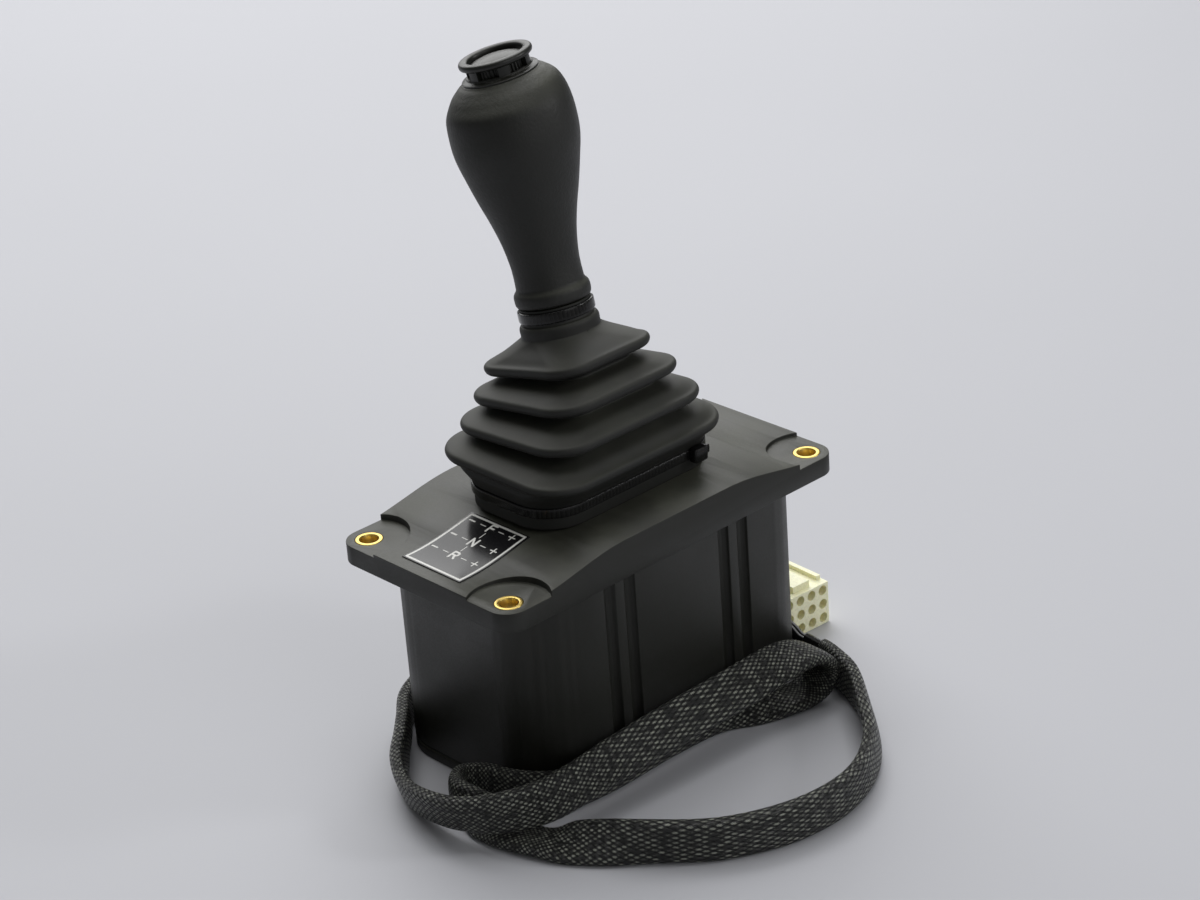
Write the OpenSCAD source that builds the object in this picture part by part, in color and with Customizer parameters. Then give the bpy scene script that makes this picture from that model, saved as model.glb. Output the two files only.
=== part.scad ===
// Industrial joystick for machine cabs: a flange-mounted box with a two-axis lever.
// The lever shifts fore and aft through three detents and tips to either side against springs.
// Millimetres, +Z up, +X forward, origin in the middle of the four bolt holes at the top of the flange ears.

/* [Flange] */
// Bolt spacing along the length
bolt_x = 120; // [110:1:140]
// Bolt spacing across the width
bolt_y = 60; // [54:0.5:66]
// Radius of the ears around the bolt holes
ear_r = 6.7; // [6:0.1:9]
// Thickness of the flange at the ears
ear_t = 6; // [4.5:0.5:8]
// Bore of the bolt bushings
bushing_bore = 5.5; // [4.5:0.1:6]
// Outside diameter of the bolt bushings
bushing_od = 8.2; // [7.6:0.1:9.5]
// Radius of the round pocket around each bolt hole
pocket_r = 12; // [10:0.5:14]
// Rise of the crowned top above the ears
crown_h = 6; // [3:0.5:8]
// Height of the flange top above the ears at its two ends
crown_end = 1; // [0.5:0.1:2]

/* [Housing] */
// Length of the box below the flange
body_x = 113; // [104:1:130]
// Width of the box below the flange
body_y = 69; // [62:1:75]
// Corner radius of the box
body_r = 18; // [12:1:20]
// Height of the box below the flange ears
body_h = 64; // [58:1:80]
// Wall thickness of the box
wall = 2.5; // [2:0.1:3.5]
// Width of the vertical flutes in the long walls
flute_w = 3.8; // [2:0.1:5]
// Depth of the vertical flutes
flute_d = 1.2; // [0.5:0.1:1.6]

/* [Boot] */
// Length of the boot's foot
foot_x = 69; // [62:1:76]
// Width of the boot's foot
foot_y = 40; // [36:1:46]
// Thickness of the rubber
boot_t = 1.8; // [1.2:0.1:2.4]
// Number of pleats
pleats = 4; // [3:1:5]

/* [Lever] */
// Height of the lever's pivot above the ears
pivot_z = -4; // [-8:0.5:0]
// Height of the bend in the lever
bend_z = 17; // [12:0.5:20]
// Angle of the bend, towards +Y
crank = 13; // [0:0.5:20]
// Diameter of the lever tube
shaft_d = 10; // [8:0.5:11]
// Length from the bend to the bottom of the grip's lip
neck_s = 43.5; // [40:0.5:56]
// Length of the grip from its lip to its top
grip_l = 67.6; // [60:0.2:80]
// Largest diameter of the grip
grip_d = 35.6; // [30:0.2:40]

/* [Motion] */
// Shift angle each way between the detents
shift_deg = 12; // [8:1:14]
// Tip angle each way
tip_deg = 8; // [5:1:10]
// Travel of the push button
button_travel = 1.8; // [1:0.1:2.2]
// Radial running clearance of the pins
run_gap = 0.05; // [0.02:0.01:0.1]

/* [Cable] */
// Width of the flat braided sleeve
sleeve_w = 13; // [10:0.5:15]
// Thickness of the flat braided sleeve
sleeve_t = 4.4; // [3.5:0.1:6]
// Pitch of the connector's ways
way_pitch = 4.8; // [4.6:0.1:5.2]

/* [Hidden] */
$fn = 48;
eps = 0.01;

flange_x = bolt_x + 2 * ear_r;
flange_y = bolt_y + 2 * ear_r;
floor_z = -ear_t - body_h;
cover_t = 3;
gasket_t = 1;
wall_z = floor_z + cover_t + gasket_t;
ceiling_z = -2;
crown_flat = bolt_x / 6;
crown_reach = bolt_x / 2;
spigot_z = 15;
spigot_gap = 0.2;
spigot_wall = 2.6;
foot_r = 13;
spigot_x = foot_x - 2 * boot_t - 2 * spigot_gap;
spigot_y = foot_y - 2 * boot_t - 2 * spigot_gap;
boss_x = body_x / 2 - 11;
boss_y = body_y / 2 - 11;
boss_r = 4.5;
screw_r = 1.75;

RUBBER = [0.13, 0.13, 0.12];
NYLON = [0.17, 0.18, 0.16];
GLOSS = [0.05, 0.05, 0.05];
STEEL = [0.62, 0.63, 0.65];
BRASS = [0.80, 0.65, 0.25];
CREAM = [0.92, 0.91, 0.78];

// Height of the crowned flange top at distance x from the middle: flat, then a cosine ease to the ends.
function crown(x) = abs(x) < crown_flat ? crown_h : abs(x) > crown_reach ? crown_end :
    crown_end + (crown_h - crown_end)
    * (1 + cos(180 * (abs(x) - crown_flat) / (crown_reach - crown_flat))) / 2;

// Points across a span, for the crowned outlines.
function span(a, b, n) = [for (i = [0 : n]) a + (b - a) * i / n];

// A smooth curve through control points, with n steps between each pair (Catmull-Rom).
function spline_at(p0, p1, p2, p3, t) = 0.5 * ((2 * p1) + (p2 - p0) * t
    + (2 * p0 - 5 * p1 + 4 * p2 - p3) * t * t + (3 * p1 - p0 - 3 * p2 + p3) * t * t * t);
function spline(p, n) = [for (i = [0 : len(p) - 2], k = [0 : n - 1])
    spline_at(p[max(i - 1, 0)], p[i], p[i + 1], p[min(i + 2, len(p) - 1)], k / n), p[len(p) - 1]];

// A rounded rectangle, l along X and w along Y, with corner radius r.
module plate(l, w, r) {
    square([l - 2 * r, w], center = true);
    square([l, w - 2 * r], center = true);
    for (sx = [-1, 1], sy = [-1, 1]) translate([sx * (l / 2 - r), sy * (w / 2 - r)]) circle(r = r);
}

module block(l, w, r, z0, z1) translate([0, 0, z0]) linear_extrude(z1 - z0) plate(l, w, r);

module corners(x, y) for (sx = [-1, 1], sy = [-1, 1]) translate([sx * x, sy * y, 0]) children();

// A rod of radius r from z0 to z1.
module rod(r, z0, z1) translate([0, 0, z0]) cylinder(r = r, h = z1 - z0);

// A round pin along X or Y through the origin.
module pin_x(r, x0, x1) rotate([0, 90, 0]) rod(r, x0, x1);
module pin_y(r, y0, y1) rotate([-90, 0, 0]) rod(r, y0, y1);

// The cranked part of the lever: local Z runs up the grip from the bend.
module on_grip() translate([0, 0, bend_z]) rotate([-crank, 0, 0]) children();

// The head of the grip leans back: local Z is the axis of the push button.
head_s = neck_s + grip_l - 2;
module on_head() on_grip() translate([0, 0, head_s]) rotate([2, -7, 0]) children();

// A solid skin over rings of points: each ring has the same count, the first and last are capped.
module skin(rings) {
    n = len(rings[0]);
    m = len(rings);
    polyhedron(points = [for (r = rings, p = r) p],
        faces = concat([[for (i = [0 : n - 1]) i]],
            [for (k = [0 : m - 2], i = [0 : n - 1])
                [k * n + i, (k + 1) * n + i, (k + 1) * n + (i + 1) % n, k * n + (i + 1) % n]],
            [[for (i = [n - 1 : -1 : 0]) (m - 1) * n + i]]));
}

// A closed tube of skin over rings that return to the first one.
module skin_loop(rings) {
    n = len(rings[0]);
    m = len(rings);
    polyhedron(points = [for (r = rings, p = r) p],
        faces = [for (k = [0 : m - 1], i = [0 : n - 1])
            [k * n + i, ((k + 1) % m) * n + i, ((k + 1) % m) * n + (i + 1) % n, k * n + (i + 1) % n]]);
}

// ---- Housing ----

// The crowned slab of the flange, between z0 and the crown lowered by drop.
module crowned(z0, drop) {
    xs = span(-flange_x / 2, flange_x / 2, 36);
    translate([0, flange_y / 2, 0]) rotate([90, 0, 0]) linear_extrude(flange_y)
        polygon(concat([[xs[36], z0], [xs[0], z0]], [for (x = xs) [x, crown(x) - drop]]));
}

flute_pairs = [19, 26.8];

module housing() color(NYLON) difference() {
    union() {
        intersection() {
            crowned(-ear_t, 0);
            block(flange_x, flange_y, ear_r, -ear_t - 1, crown_h + 1);
        }
        block(body_x, body_y, body_r, wall_z, -ear_t + eps);
        block(spigot_x, spigot_y, foot_r - boot_t, 0, spigot_z - 1.2);
        block(spigot_x - 1.2, spigot_y - 1.2, foot_r - boot_t - 0.6, spigot_z - 1.3, spigot_z);
    }
    difference() {
        union() {
            block(body_x - 2 * wall, body_y - 2 * wall, body_r - wall, wall_z - 1, ceiling_z);
            block(68, 56, 4, ceiling_z - 1, crown_h - 3.2);
        }
        corners(boss_x, boss_y) rod(boss_r, wall_z, ceiling_z + 1);
    }
    block(spigot_x - 2 * spigot_wall, spigot_y - 2 * spigot_wall, foot_r - boot_t - spigot_wall, -3, spigot_z + 1);
    block(2 * yoke_x + 4, 2 * yoke_y + 2.4, 3, -3, crown_h - 0.8);
    corners(bolt_x / 2, bolt_y / 2) {
        rod(pocket_r, 0, crown_h);
        rod(bushing_od / 2 + eps, -ear_t - 1, 1);
    }
    corners(boss_x, boss_y) rod(screw_r - 0.3, wall_z - 1, wall_z + 14);
    corners(bracket_hole_x, bracket_hole_y) rod(1.25, 0, crown_h - 1);
    for (sx = [-1, 1], sy = [-1, 1], x = flute_pairs)
        translate([sx * x, sy * (body_y / 2 + flute_w / 2 - flute_d), wall_z - 1])
            cylinder(r = flute_w / 2 + 0.4, h = -ear_t - 1.5 - wall_z + 1);
    translate([grommet_x, body_y / 2, grommet_z]) pin_y(grommet_r, -wall - 1, 1);
}

module bottom_cover() color(NYLON) difference() {
    union() {
        block(body_x, body_y, body_r, floor_z, floor_z + cover_t);
        difference() {
            block(body_x - 2 * wall - 0.4, body_y - 2 * wall - 0.4, body_r - wall - 0.2, floor_z + cover_t - eps,
                wall_z + 2);
            block(body_x - 2 * wall - 3.4, body_y - 2 * wall - 3.4, body_r - wall - 1.7, floor_z + cover_t - 1,
                wall_z + 3);
            corners(boss_x, boss_y) rod(boss_r + 0.3, wall_z, wall_z + 3);
        }
        corners(board_hole_x, board_hole_y) rod(3, floor_z + cover_t - eps, board_z);
    }
    corners(boss_x, boss_y) {
        rod(screw_r + 0.25, floor_z - 1, wall_z + 3);
        rod(3.6, floor_z - 1, floor_z + 1.8);
    }
    corners(board_hole_x, board_hole_y) rod(1, board_z - 6, board_z + 1);
    for (x = [-40 : 8 : 40]) translate([x - 0.6, -16, floor_z - 1]) cube([1.2, 32, 1.6]);
}

module cover_gasket() color(RUBBER) difference() {
    block(body_x - 0.6, body_y - 0.6, body_r - 0.3, floor_z + cover_t, wall_z);
    block(body_x - 2 * wall + 0.2, body_y - 2 * wall + 0.2, body_r - wall, floor_z, wall_z + 1);
}

// A screw with its head's underside at z = 0 and its shank up, driven from below.
module screw(r, shank, head_r, head_h) difference() {
    union() {
        rod(r, -eps, shank);
        rod(head_r, -head_h, 0);
    }
    rod(head_r * 0.5, -head_h - 1, -head_h * 0.45);
}

module cover_screws() color(STEEL) corners(boss_x, boss_y)
    translate([0, 0, floor_z + 1.8]) screw(screw_r - 0.32, 14, 3.2, 1.7);

module flange_bushings() color(BRASS) corners(bolt_x / 2, bolt_y / 2) difference() {
    rod(bushing_od / 2, -ear_t, 0.1);
    rod(bushing_bore / 2, -ear_t - 1, 1);
}

label_x0 = -62.4;
label_x1 = -35.4;
label_y = 24.8;
label_t = 0.3;

module label() color(GLOSS) intersection() {
    difference() {
        crowned(-ear_t, -label_t);
        crowned(-ear_t - 1, 0);
    }
    translate([label_x0, -label_y / 2, -ear_t]) cube([label_x1 - label_x0, label_y, 20]);
}

// ---- Boot ----

// One ring of the boot: a rounded rectangle about the lever's line, shifted and tilted to follow the crank.
boot_n = 10;
function ring(hx, hy, r, cy, z, tilt) = [for (q = [0 : 3], k = [0 : boot_n - 1])
    let (a = 90 * q + 90 * k / (boot_n - 1), sx = (q == 0 || q == 3) ? 1 : -1, sy = q < 2 ? 1 : -1,
        x = sx * (hx - r) + r * cos(a), y = sy * (hy - r) + r * sin(a))
    [x, cy + y * cos(tilt), z - y * sin(tilt)]];

// Rows of the boot from the foot to the collar: half length, half width, corner radius, height, lean from 0 to 1.
lip_x0 = foot_x / 2 + 1.6;
lip_y0 = foot_y / 2 + 7.3;
lip_x1 = 19.2;
lip_y1 = 21.3;
lip_z0 = 19.1;
lip_z1 = 45.1;
fold_in = 6.4;
collar_r = 10.2;
spigot_neck_r = 8.4;
function lip(i) = let (t = i / (pleats - 1)) [lip_x0 + (lip_x1 - lip_x0) * t, lip_y0 + (lip_y1 - lip_y0) * t,
    13 - 2 * t, lip_z0 + (lip_z1 - lip_z0) * t, t];
function valley(i) = let (a = lip(i), b = lip(i + 1)) [b[0] - fold_in, b[1] - fold_in, 7,
    (a[3] + b[3]) / 2 - 0.6, (a[4] + b[4]) / 2];
function lip_rows(i) = let (a = lip(i)) [[a[0] - 1.2, a[1] - 1.2, a[2] - 1.2, a[3] - 1.5, a[4]],
    [a[0], a[1], a[2], a[3], a[4]], [a[0] - 1.2, a[1] - 1.2, a[2] - 1.2, a[3] + 1.5, a[4]]];
boot_rows = concat([[foot_x / 2, foot_y / 2, foot_r, crown_h, 0], [foot_x / 2, foot_y / 2, foot_r, 13, 0]],
    [for (i = [0 : pleats - 1], r = concat(lip_rows(i), i < pleats - 1 ? [valley(i)] : [])) r]);

// One row of the boot: its tilt grows evenly up to the crank, its shift catches up with the lever's line.
function row_ring(r, inset) = ring(max(r[0] - inset, 1), max(r[1] - inset, 1), max(r[2] - inset, 0.5),
    max(r[3] - bend_z, 0) * tan(crank) * pow(r[4], 1.6), r[3], crank * r[4]);

// A ring of the round collar at distance s up the grip's axis.
function collar_ring(r, s) = [for (p = ring(r, r, r, 0, 0, 0))
    [p[0], p[1] * cos(crank) + s * sin(crank), bend_z - p[1] * sin(crank) + s * cos(crank)]];

module boot() color(RUBBER) skin_loop(concat(
    [for (r = boot_rows) row_ring(r, 0)],
    [collar_ring(collar_r + 1.4, neck_s - 9.6), collar_ring(collar_r + 0.3, neck_s - 8.6),
        collar_ring(collar_r + 0.3, neck_s - 5), collar_ring(collar_r, neck_s - 4.8),
        collar_ring(collar_r, neck_s - 0.3), collar_ring(spigot_neck_r + 0.3, neck_s - 0.3),
        collar_ring(spigot_neck_r + 0.3, neck_s - 8.6)],
    [for (i = [len(boot_rows) - 1 : -1 : 0]) row_ring(boot_rows[i], boot_t)]));

tie_w = 3;
tie_t = 1.1;
tie_z = 9.7;

module boot_base_tie() color(GLOSS) {
    difference() {
        block(foot_x + 2 * tie_t, foot_y + 2 * tie_t, foot_r + tie_t, tie_z, tie_z + tie_w);
        block(foot_x + 0.1, foot_y + 0.1, foot_r + 0.05, tie_z - 1, tie_z + tie_w + 1);
    }
    translate([foot_x / 2 - foot_r - 1, -foot_y / 2 - tie_t - 2.6, tie_z - 0.8])
        cube([5.2, 3, tie_w + 1.6]);
}

module boot_neck_tie() color(GLOSS) on_grip() {
    difference() {
        rod(collar_r + 0.3 + tie_t, neck_s - 4.4, neck_s - 0.9);
        rod(collar_r + 0.3, neck_s - 6, neck_s);
    }
    translate([-2.6, collar_r + tie_t, neck_s - 5]) cube([5.2, 3, tie_w + 1.6]);
}

// ---- Gimbal ----

bracket_hole_x = 27;
bracket_hole_y = 23;
bracket_top = crown_h - 3.2;
bracket_t = 3;
cheek_y = 17.5;
cheek_t = 3.5;
bush_r = 4.4;
yoke_pin_r = 3;
cross_pin_r = 2.5;
yoke_x = 15;
yoke_y = 15;
yoke_in_x = 8.2;
yoke_in_y = 10.7;
yoke_h = 11;
detent_r = 22.6;
ball_r = 2;
arc_in = 24;
arc_out = 29;

module gimbal_bracket() color(STEEL) difference() {
    union() {
        difference() {
            block(62, 52, 4, bracket_top - bracket_t, bracket_top);
            block(50, 2 * cheek_y, 3, bracket_top - bracket_t - 1, bracket_top + 1);
        }
        for (s = [-1, 1]) translate([0, s * (cheek_y + cheek_t / 2), 0]) {
            translate([-15, -cheek_t / 2, pivot_z - 4]) cube([30, cheek_t, bracket_top - 1 - pivot_z + 4]);
            translate([0, 0, pivot_z - 4]) pin_y(15, -cheek_t / 2, cheek_t / 2);
        }
        translate([-12, cheek_y, pivot_z - arc_out - 1]) cube([24, cheek_t, 20]);
    }
    translate([-40, -40, bracket_top]) cube([80, 80, 20]);
    translate([0, 0, pivot_z]) pin_y(bush_r + eps, -40, 40);
    corners(bracket_hole_x, bracket_hole_y) rod(1.7, bracket_top - 5, bracket_top + 1);
    for (s = [-1, 1]) translate([s * 8, 0, pivot_z - arc_out + 3.2]) pin_y(1.3, 0, 40);
}

module bracket_screws() color(STEEL) corners(bracket_hole_x, bracket_hole_y)
    translate([0, 0, bracket_top - bracket_t]) screw(1.24, 5.4, 2.8, 2);

module pivot_bushes() color(BRASS) for (s = [0, 180]) translate([0, 0, pivot_z]) rotate([0, 0, s]) difference() {
    union() {
        pin_y(bush_r, cheek_y, cheek_y + cheek_t);
        pin_y(bush_r + 1.6, cheek_y + cheek_t, cheek_y + cheek_t + 1.2);
    }
    pin_y(yoke_pin_r + run_gap, cheek_y - 1, cheek_y + cheek_t + 3);
}

arm_z = -20;

module yoke() color([0.45, 0.46, 0.48]) translate([0, 0, pivot_z]) difference() {
    union() {
        block(2 * yoke_x, 2 * yoke_y, 4, -yoke_h / 2, yoke_h / 2);
        for (s = [-1, 1]) translate([-5, s > 0 ? yoke_in_y : -yoke_y, arm_z])
            cube([10, yoke_y - yoke_in_y, -arm_z]);
        for (s = [-1, 1]) translate([0, s * yoke_y, 0]) pin_y(5.5, s > 0 ? -1 : -1.6, s > 0 ? 1.6 : 1);
    }
    block(2 * yoke_in_x, 2 * yoke_in_y, 2, -yoke_h, yoke_h);
    pin_x(cross_pin_r, -40, 40);
    pin_y(yoke_pin_r, -40, 40);
    for (s = [-1, 1]) translate([0, s * yoke_in_y, spring_z - pivot_z]) pin_y(3.3, s > 0 ? -1 : -0.8, s > 0 ? 0.8 : 1);
    translate([0, (yoke_in_y + yoke_y) / 2, 0]) rod(ball_r + 0.1, arm_z - 1, -11);
}

module yoke_pins() color(STEEL) translate([0, 0, pivot_z]) for (s = [0, 180]) rotate([0, 0, s])
    pin_y(yoke_pin_r, yoke_in_y + 0.6, cheek_y + cheek_t + 2.6);

module cross_pin() color(STEEL) translate([0, 0, pivot_z]) pin_x(cross_pin_r, -yoke_x - 2, yoke_x + 2);

module pin_clips() color(STEEL) translate([0, 0, pivot_z]) for (s = [0, 180]) rotate([0, 0, s]) difference() {
    pin_x(cross_pin_r + 1.8, yoke_x + 0.3, yoke_x + 1.1);
    pin_x(cross_pin_r, yoke_x - 1, yoke_x + 3);
    translate([yoke_x - 1, -1.6, 0]) cube([3, 3.2, 8]);
}

module detent_plate() color(STEEL) translate([0, 0, pivot_z]) difference() {
    rotate([-90, 0, 0]) translate([0, 0, yoke_in_y]) rotate([0, 0, 66])
        rotate_extrude(angle = 48, $fn = 96) translate([arc_in, 0]) square([arc_out - arc_in, cheek_y - yoke_in_y]);
    translate([0, (yoke_in_y + yoke_y) / 2, 0]) rotate([-90, 0, 0])
        rotate_extrude($fn = 96) translate([detent_r, 0]) circle(r = ball_r + 0.1);
    for (a = [-1, 0, 1]) rotate([0, a * shift_deg, 0]) translate([0, (yoke_in_y + yoke_y) / 2, -detent_r - 0.3])
        sphere(r = ball_r + 0.3);
    for (s = [-1, 1]) translate([s * 8, 0, -arc_out + 3.2]) pin_y(1, cheek_y - 5, 40);
}

module detent_screws() color(STEEL) for (s = [-1, 1])
    translate([s * 8, cheek_y + cheek_t, pivot_z - arc_out + 3.2]) rotate([90, 0, 0]) screw(0.98, 7.5, 2, 1.3);

module detent_ball() color(STEEL) translate([0, (yoke_in_y + yoke_y) / 2, pivot_z - detent_r]) sphere(r = ball_r);

// A helical spring along Z from z0 to z1: mean radius r, wire radius w.
coil_sides = 6;
coil_steps = 14;
function coil_ring(r, w, z, a) = [for (i = [0 : coil_sides - 1]) let (b = 360 * i / coil_sides)
    [(r + w * cos(b)) * cos(a), (r + w * cos(b)) * sin(a), z + w * sin(b)]];
module coil(r, w, z0, z1, turns) skin([for (k = [0 : round(turns * coil_steps)])
    let (t = k / (turns * coil_steps)) coil_ring(r, w, z0 + w + (z1 - z0 - 2 * w) * t, 360 * turns * t)]);

module detent_spring() color(STEEL) translate([0, (yoke_in_y + yoke_y) / 2, pivot_z])
    coil(ball_r - 0.6, 0.3, -detent_r + ball_r + 0.1, -11.1, 5);

spring_z = pivot_z - 16.5;
tail_r = 4.5;

module centring_springs() color(STEEL) for (s = [0, 180]) translate([0, 0, spring_z]) rotate([0, 0, s])
    rotate([-90, 0, 0]) coil(2.7, 0.35, tail_r + 0.15, yoke_in_y + 0.7, 3);

// ---- Lever ----

hub_x = yoke_in_x - 0.4;
hub_y = 7.5;
hub_h = 18;

module lever_hub() color([0.3, 0.31, 0.32]) translate([0, 0, pivot_z]) difference() {
    block(2 * hub_x, 2 * hub_y, 2, -hub_h / 2, hub_h / 2);
    rod(shaft_d / 2 + eps, -hub_h, hub_h);
    pin_x(cross_pin_r + run_gap, -20, 20);
}

// The lever tube of radius r: upright through the hub, then up the crank, with a mitred bend.
module mitre_side(side) translate([0, 0, bend_z]) rotate([-crank / 2, 0, 0])
    translate([-30, -30, side > 0 ? 0 : -60]) cube(60);
module shaft_solid(r) {
    difference() {
        rod(r, pivot_z - hub_h / 2, bend_z + r);
        mitre_side(1);
    }
    difference() {
        on_grip() rod(r, -r, neck_s + 32);
        mitre_side(-1);
    }
}

module lever_shaft() color(STEEL) difference() {
    shaft_solid(shaft_d / 2);
    shaft_solid(shaft_d / 2 - 2.6);
    translate([0, 0, pivot_z]) pin_x(cross_pin_r + run_gap, -20, 20);
}

magnet_z = -40;

module magnet_holder() color([0.2, 0.2, 0.22]) difference() {
    union() {
        rod(tail_r, magnet_z, pivot_z - hub_h / 2);
        rod(6, magnet_z - 3, magnet_z + 3);
    }
    rod(4.02, magnet_z - 4, magnet_z + 1);
}

module magnet() color([0.75, 0.75, 0.78]) rod(4, magnet_z - 3, magnet_z + 1);

// Radii of the grip at heights above its lip, from the neck to the head.
grip_profile = [[10.2, 4.4], [9.8, 13], [10.2, 21], [11.3, 29], [13.6, 35.5], [16.2, 41.5],
    [grip_d / 2, 50], [grip_d / 2 - 0.7, 57.5], [14.6, 62.6], [11.4, 65.6]];

module grip() color(RUBBER) difference() {
    on_grip() {
        rotate_extrude($fn = 64) polygon(concat([[shaft_d / 2 + 0.05, neck_s - 9], [spigot_neck_r, neck_s - 9],
            [spigot_neck_r, neck_s], [10.2, neck_s], [10.6, neck_s + 0.5], [10.6, neck_s + 3.4],
            [10.2, neck_s + 3.9]], [for (p = spline(grip_profile, 4)) [p[0], neck_s + p[1]]],
            [[8, neck_s + grip_l + 0.2], [0, neck_s + grip_l + 0.2], [0, neck_s + 32.05],
            [shaft_d / 2 + 0.05, neck_s + 32.05]]));
    }
    on_head() {
        rod(10.3, 1, 12);
        rod(7.4, -10, 2);
    }
    on_grip() rod(shaft_d / 2 - 2.6, neck_s + 31, head_s - 6);
}

guard_z = 1;

module button_guard() color(GLOSS) on_head() difference() {
    rotate_extrude($fn = 64) polygon([[7.35, guard_z - 1.4], [7.35, guard_z], [10.2, guard_z], [10.2, guard_z + 0.8],
        [9.8, guard_z + 1.5], [8.6, guard_z + 1.9], [8.6, guard_z + 5.2], [9.5, guard_z + 5.6],
        [9.8, guard_z + 6.3], [9.8, guard_z + 7], [9.4, guard_z + 7.6], [7.6, guard_z + 7.6],
        [7.1, guard_z + 7.1], [7.1, guard_z + 4.9], [6.9, guard_z + 4.9], [6.9, guard_z - 1.4]]);
    for (a = [0 : 45 : 315]) rotate([0, 0, a + 10]) translate([6, -2.5, guard_z + 2.2]) cube([5, 5, 2.8]);
}

module push_button() color([0.09, 0.09, 0.09]) on_head() {
    rotate_extrude($fn = 64) polygon(concat([[0, guard_z - 3.2], [2, guard_z - 3.2], [2, guard_z + 3.2],
        [5.3, guard_z + 3.2], [5.3, guard_z + 0.8], [6.5, guard_z + 0.8]],
        [for (r = [6.5 : -1.3 : 0]) [r, guard_z + 6.7 - 14 + sqrt(14 * 14 - r * r)]]));
}

module button_switch() color([0.12, 0.12, 0.14]) on_head() {
    block(9, 9, 0.6, -9.9, -5.4);
    rod(1.6, -5.5, guard_z - 3.2 - button_travel - 0.2);
}

module button_spring() color(STEEL) on_head() coil(3.4, 0.35, -5.35, guard_z + 3.1, 4);

// ---- Electronics ----

board_z = -54;
board_t = 1.6;
board_x = body_x - 25;
board_y = body_y - 31;
board_hole_x = board_x / 2 - 5;
board_hole_y = board_y / 2 - 3.5;

module circuit_board() color([0.10, 0.32, 0.16]) difference() {
    block(board_x, board_y, 3, board_z, board_z + board_t);
    corners(board_hole_x, board_hole_y) rod(1.3, board_z - 1, board_z + 3);
}

module board_chips() color([0.1, 0.1, 0.1]) {
    for (p = [[-24, -9], [-24, 9], [24, -8], [24, 8]])
        translate([p[0] - 4, p[1] - 3, board_z + board_t]) cube([8, 6, 1.6]);
    for (x = [-8 : 4 : 16]) translate([x, -15, board_z + board_t]) cube([2, 1.2, 0.8]);
}

module hall_sensors() color([0.15, 0.15, 0.16])
    for (p = [[-4, 0], [4, 0], [0, -5], [0, 5]]) translate([p[0] - 1.5, p[1] - 1, board_z + board_t]) cube([3, 2, 1.2]);

header_y = 9;
header_h = 7;

module board_header() color(CREAM) translate([grommet_x, header_y, board_z + board_t])
    translate([-3.2, -7, 0]) cube([6.4, 14, header_h]);

module board_screws() color(STEEL) corners(board_hole_x, board_hole_y)
    translate([0, 0, board_z + board_t]) rotate([180, 0, 0]) screw(0.98, 6.5, 2.2, 1.4);

// ---- Cable ----

grommet_x = -8;
grommet_z = -55.5;
grommet_r = 7;
cable_r = 2.6;

module cable_grommet() color(RUBBER) translate([grommet_x, body_y / 2, grommet_z]) difference() {
    union() {
        pin_y(grommet_r - 0.02, -wall, 0);
        pin_y(grommet_r + 1.4, 0, 2.2);
        pin_y(grommet_r + 1, -wall - 1.2, -wall);
    }
    pin_y(cable_r + 0.1, -10, 10);
}

// A flat tube swept along a path: each point has a place and the direction of the sleeve's width.
function unit(v) = v / max(norm(v), 1e-9);
function heading(p, i) = unit(p[min(i + 1, len(p) - 1)] - p[max(i - 1, 0)]);
function flat_ring(c, d, w, hw, ht, n) = let (a = unit(w - d * (w * d)), b = cross(d, a))
    [for (i = [0 : n - 1]) let (t = 360 * i / n) c + a * hw * cos(t) + b * ht * sin(t)];
module flat_tube(path, wide, hw, ht, n) skin([for (i = [0 : len(path) - 1])
    flat_ring(path[i], heading(path, i), wide[i], hw, ht, n)]);

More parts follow.
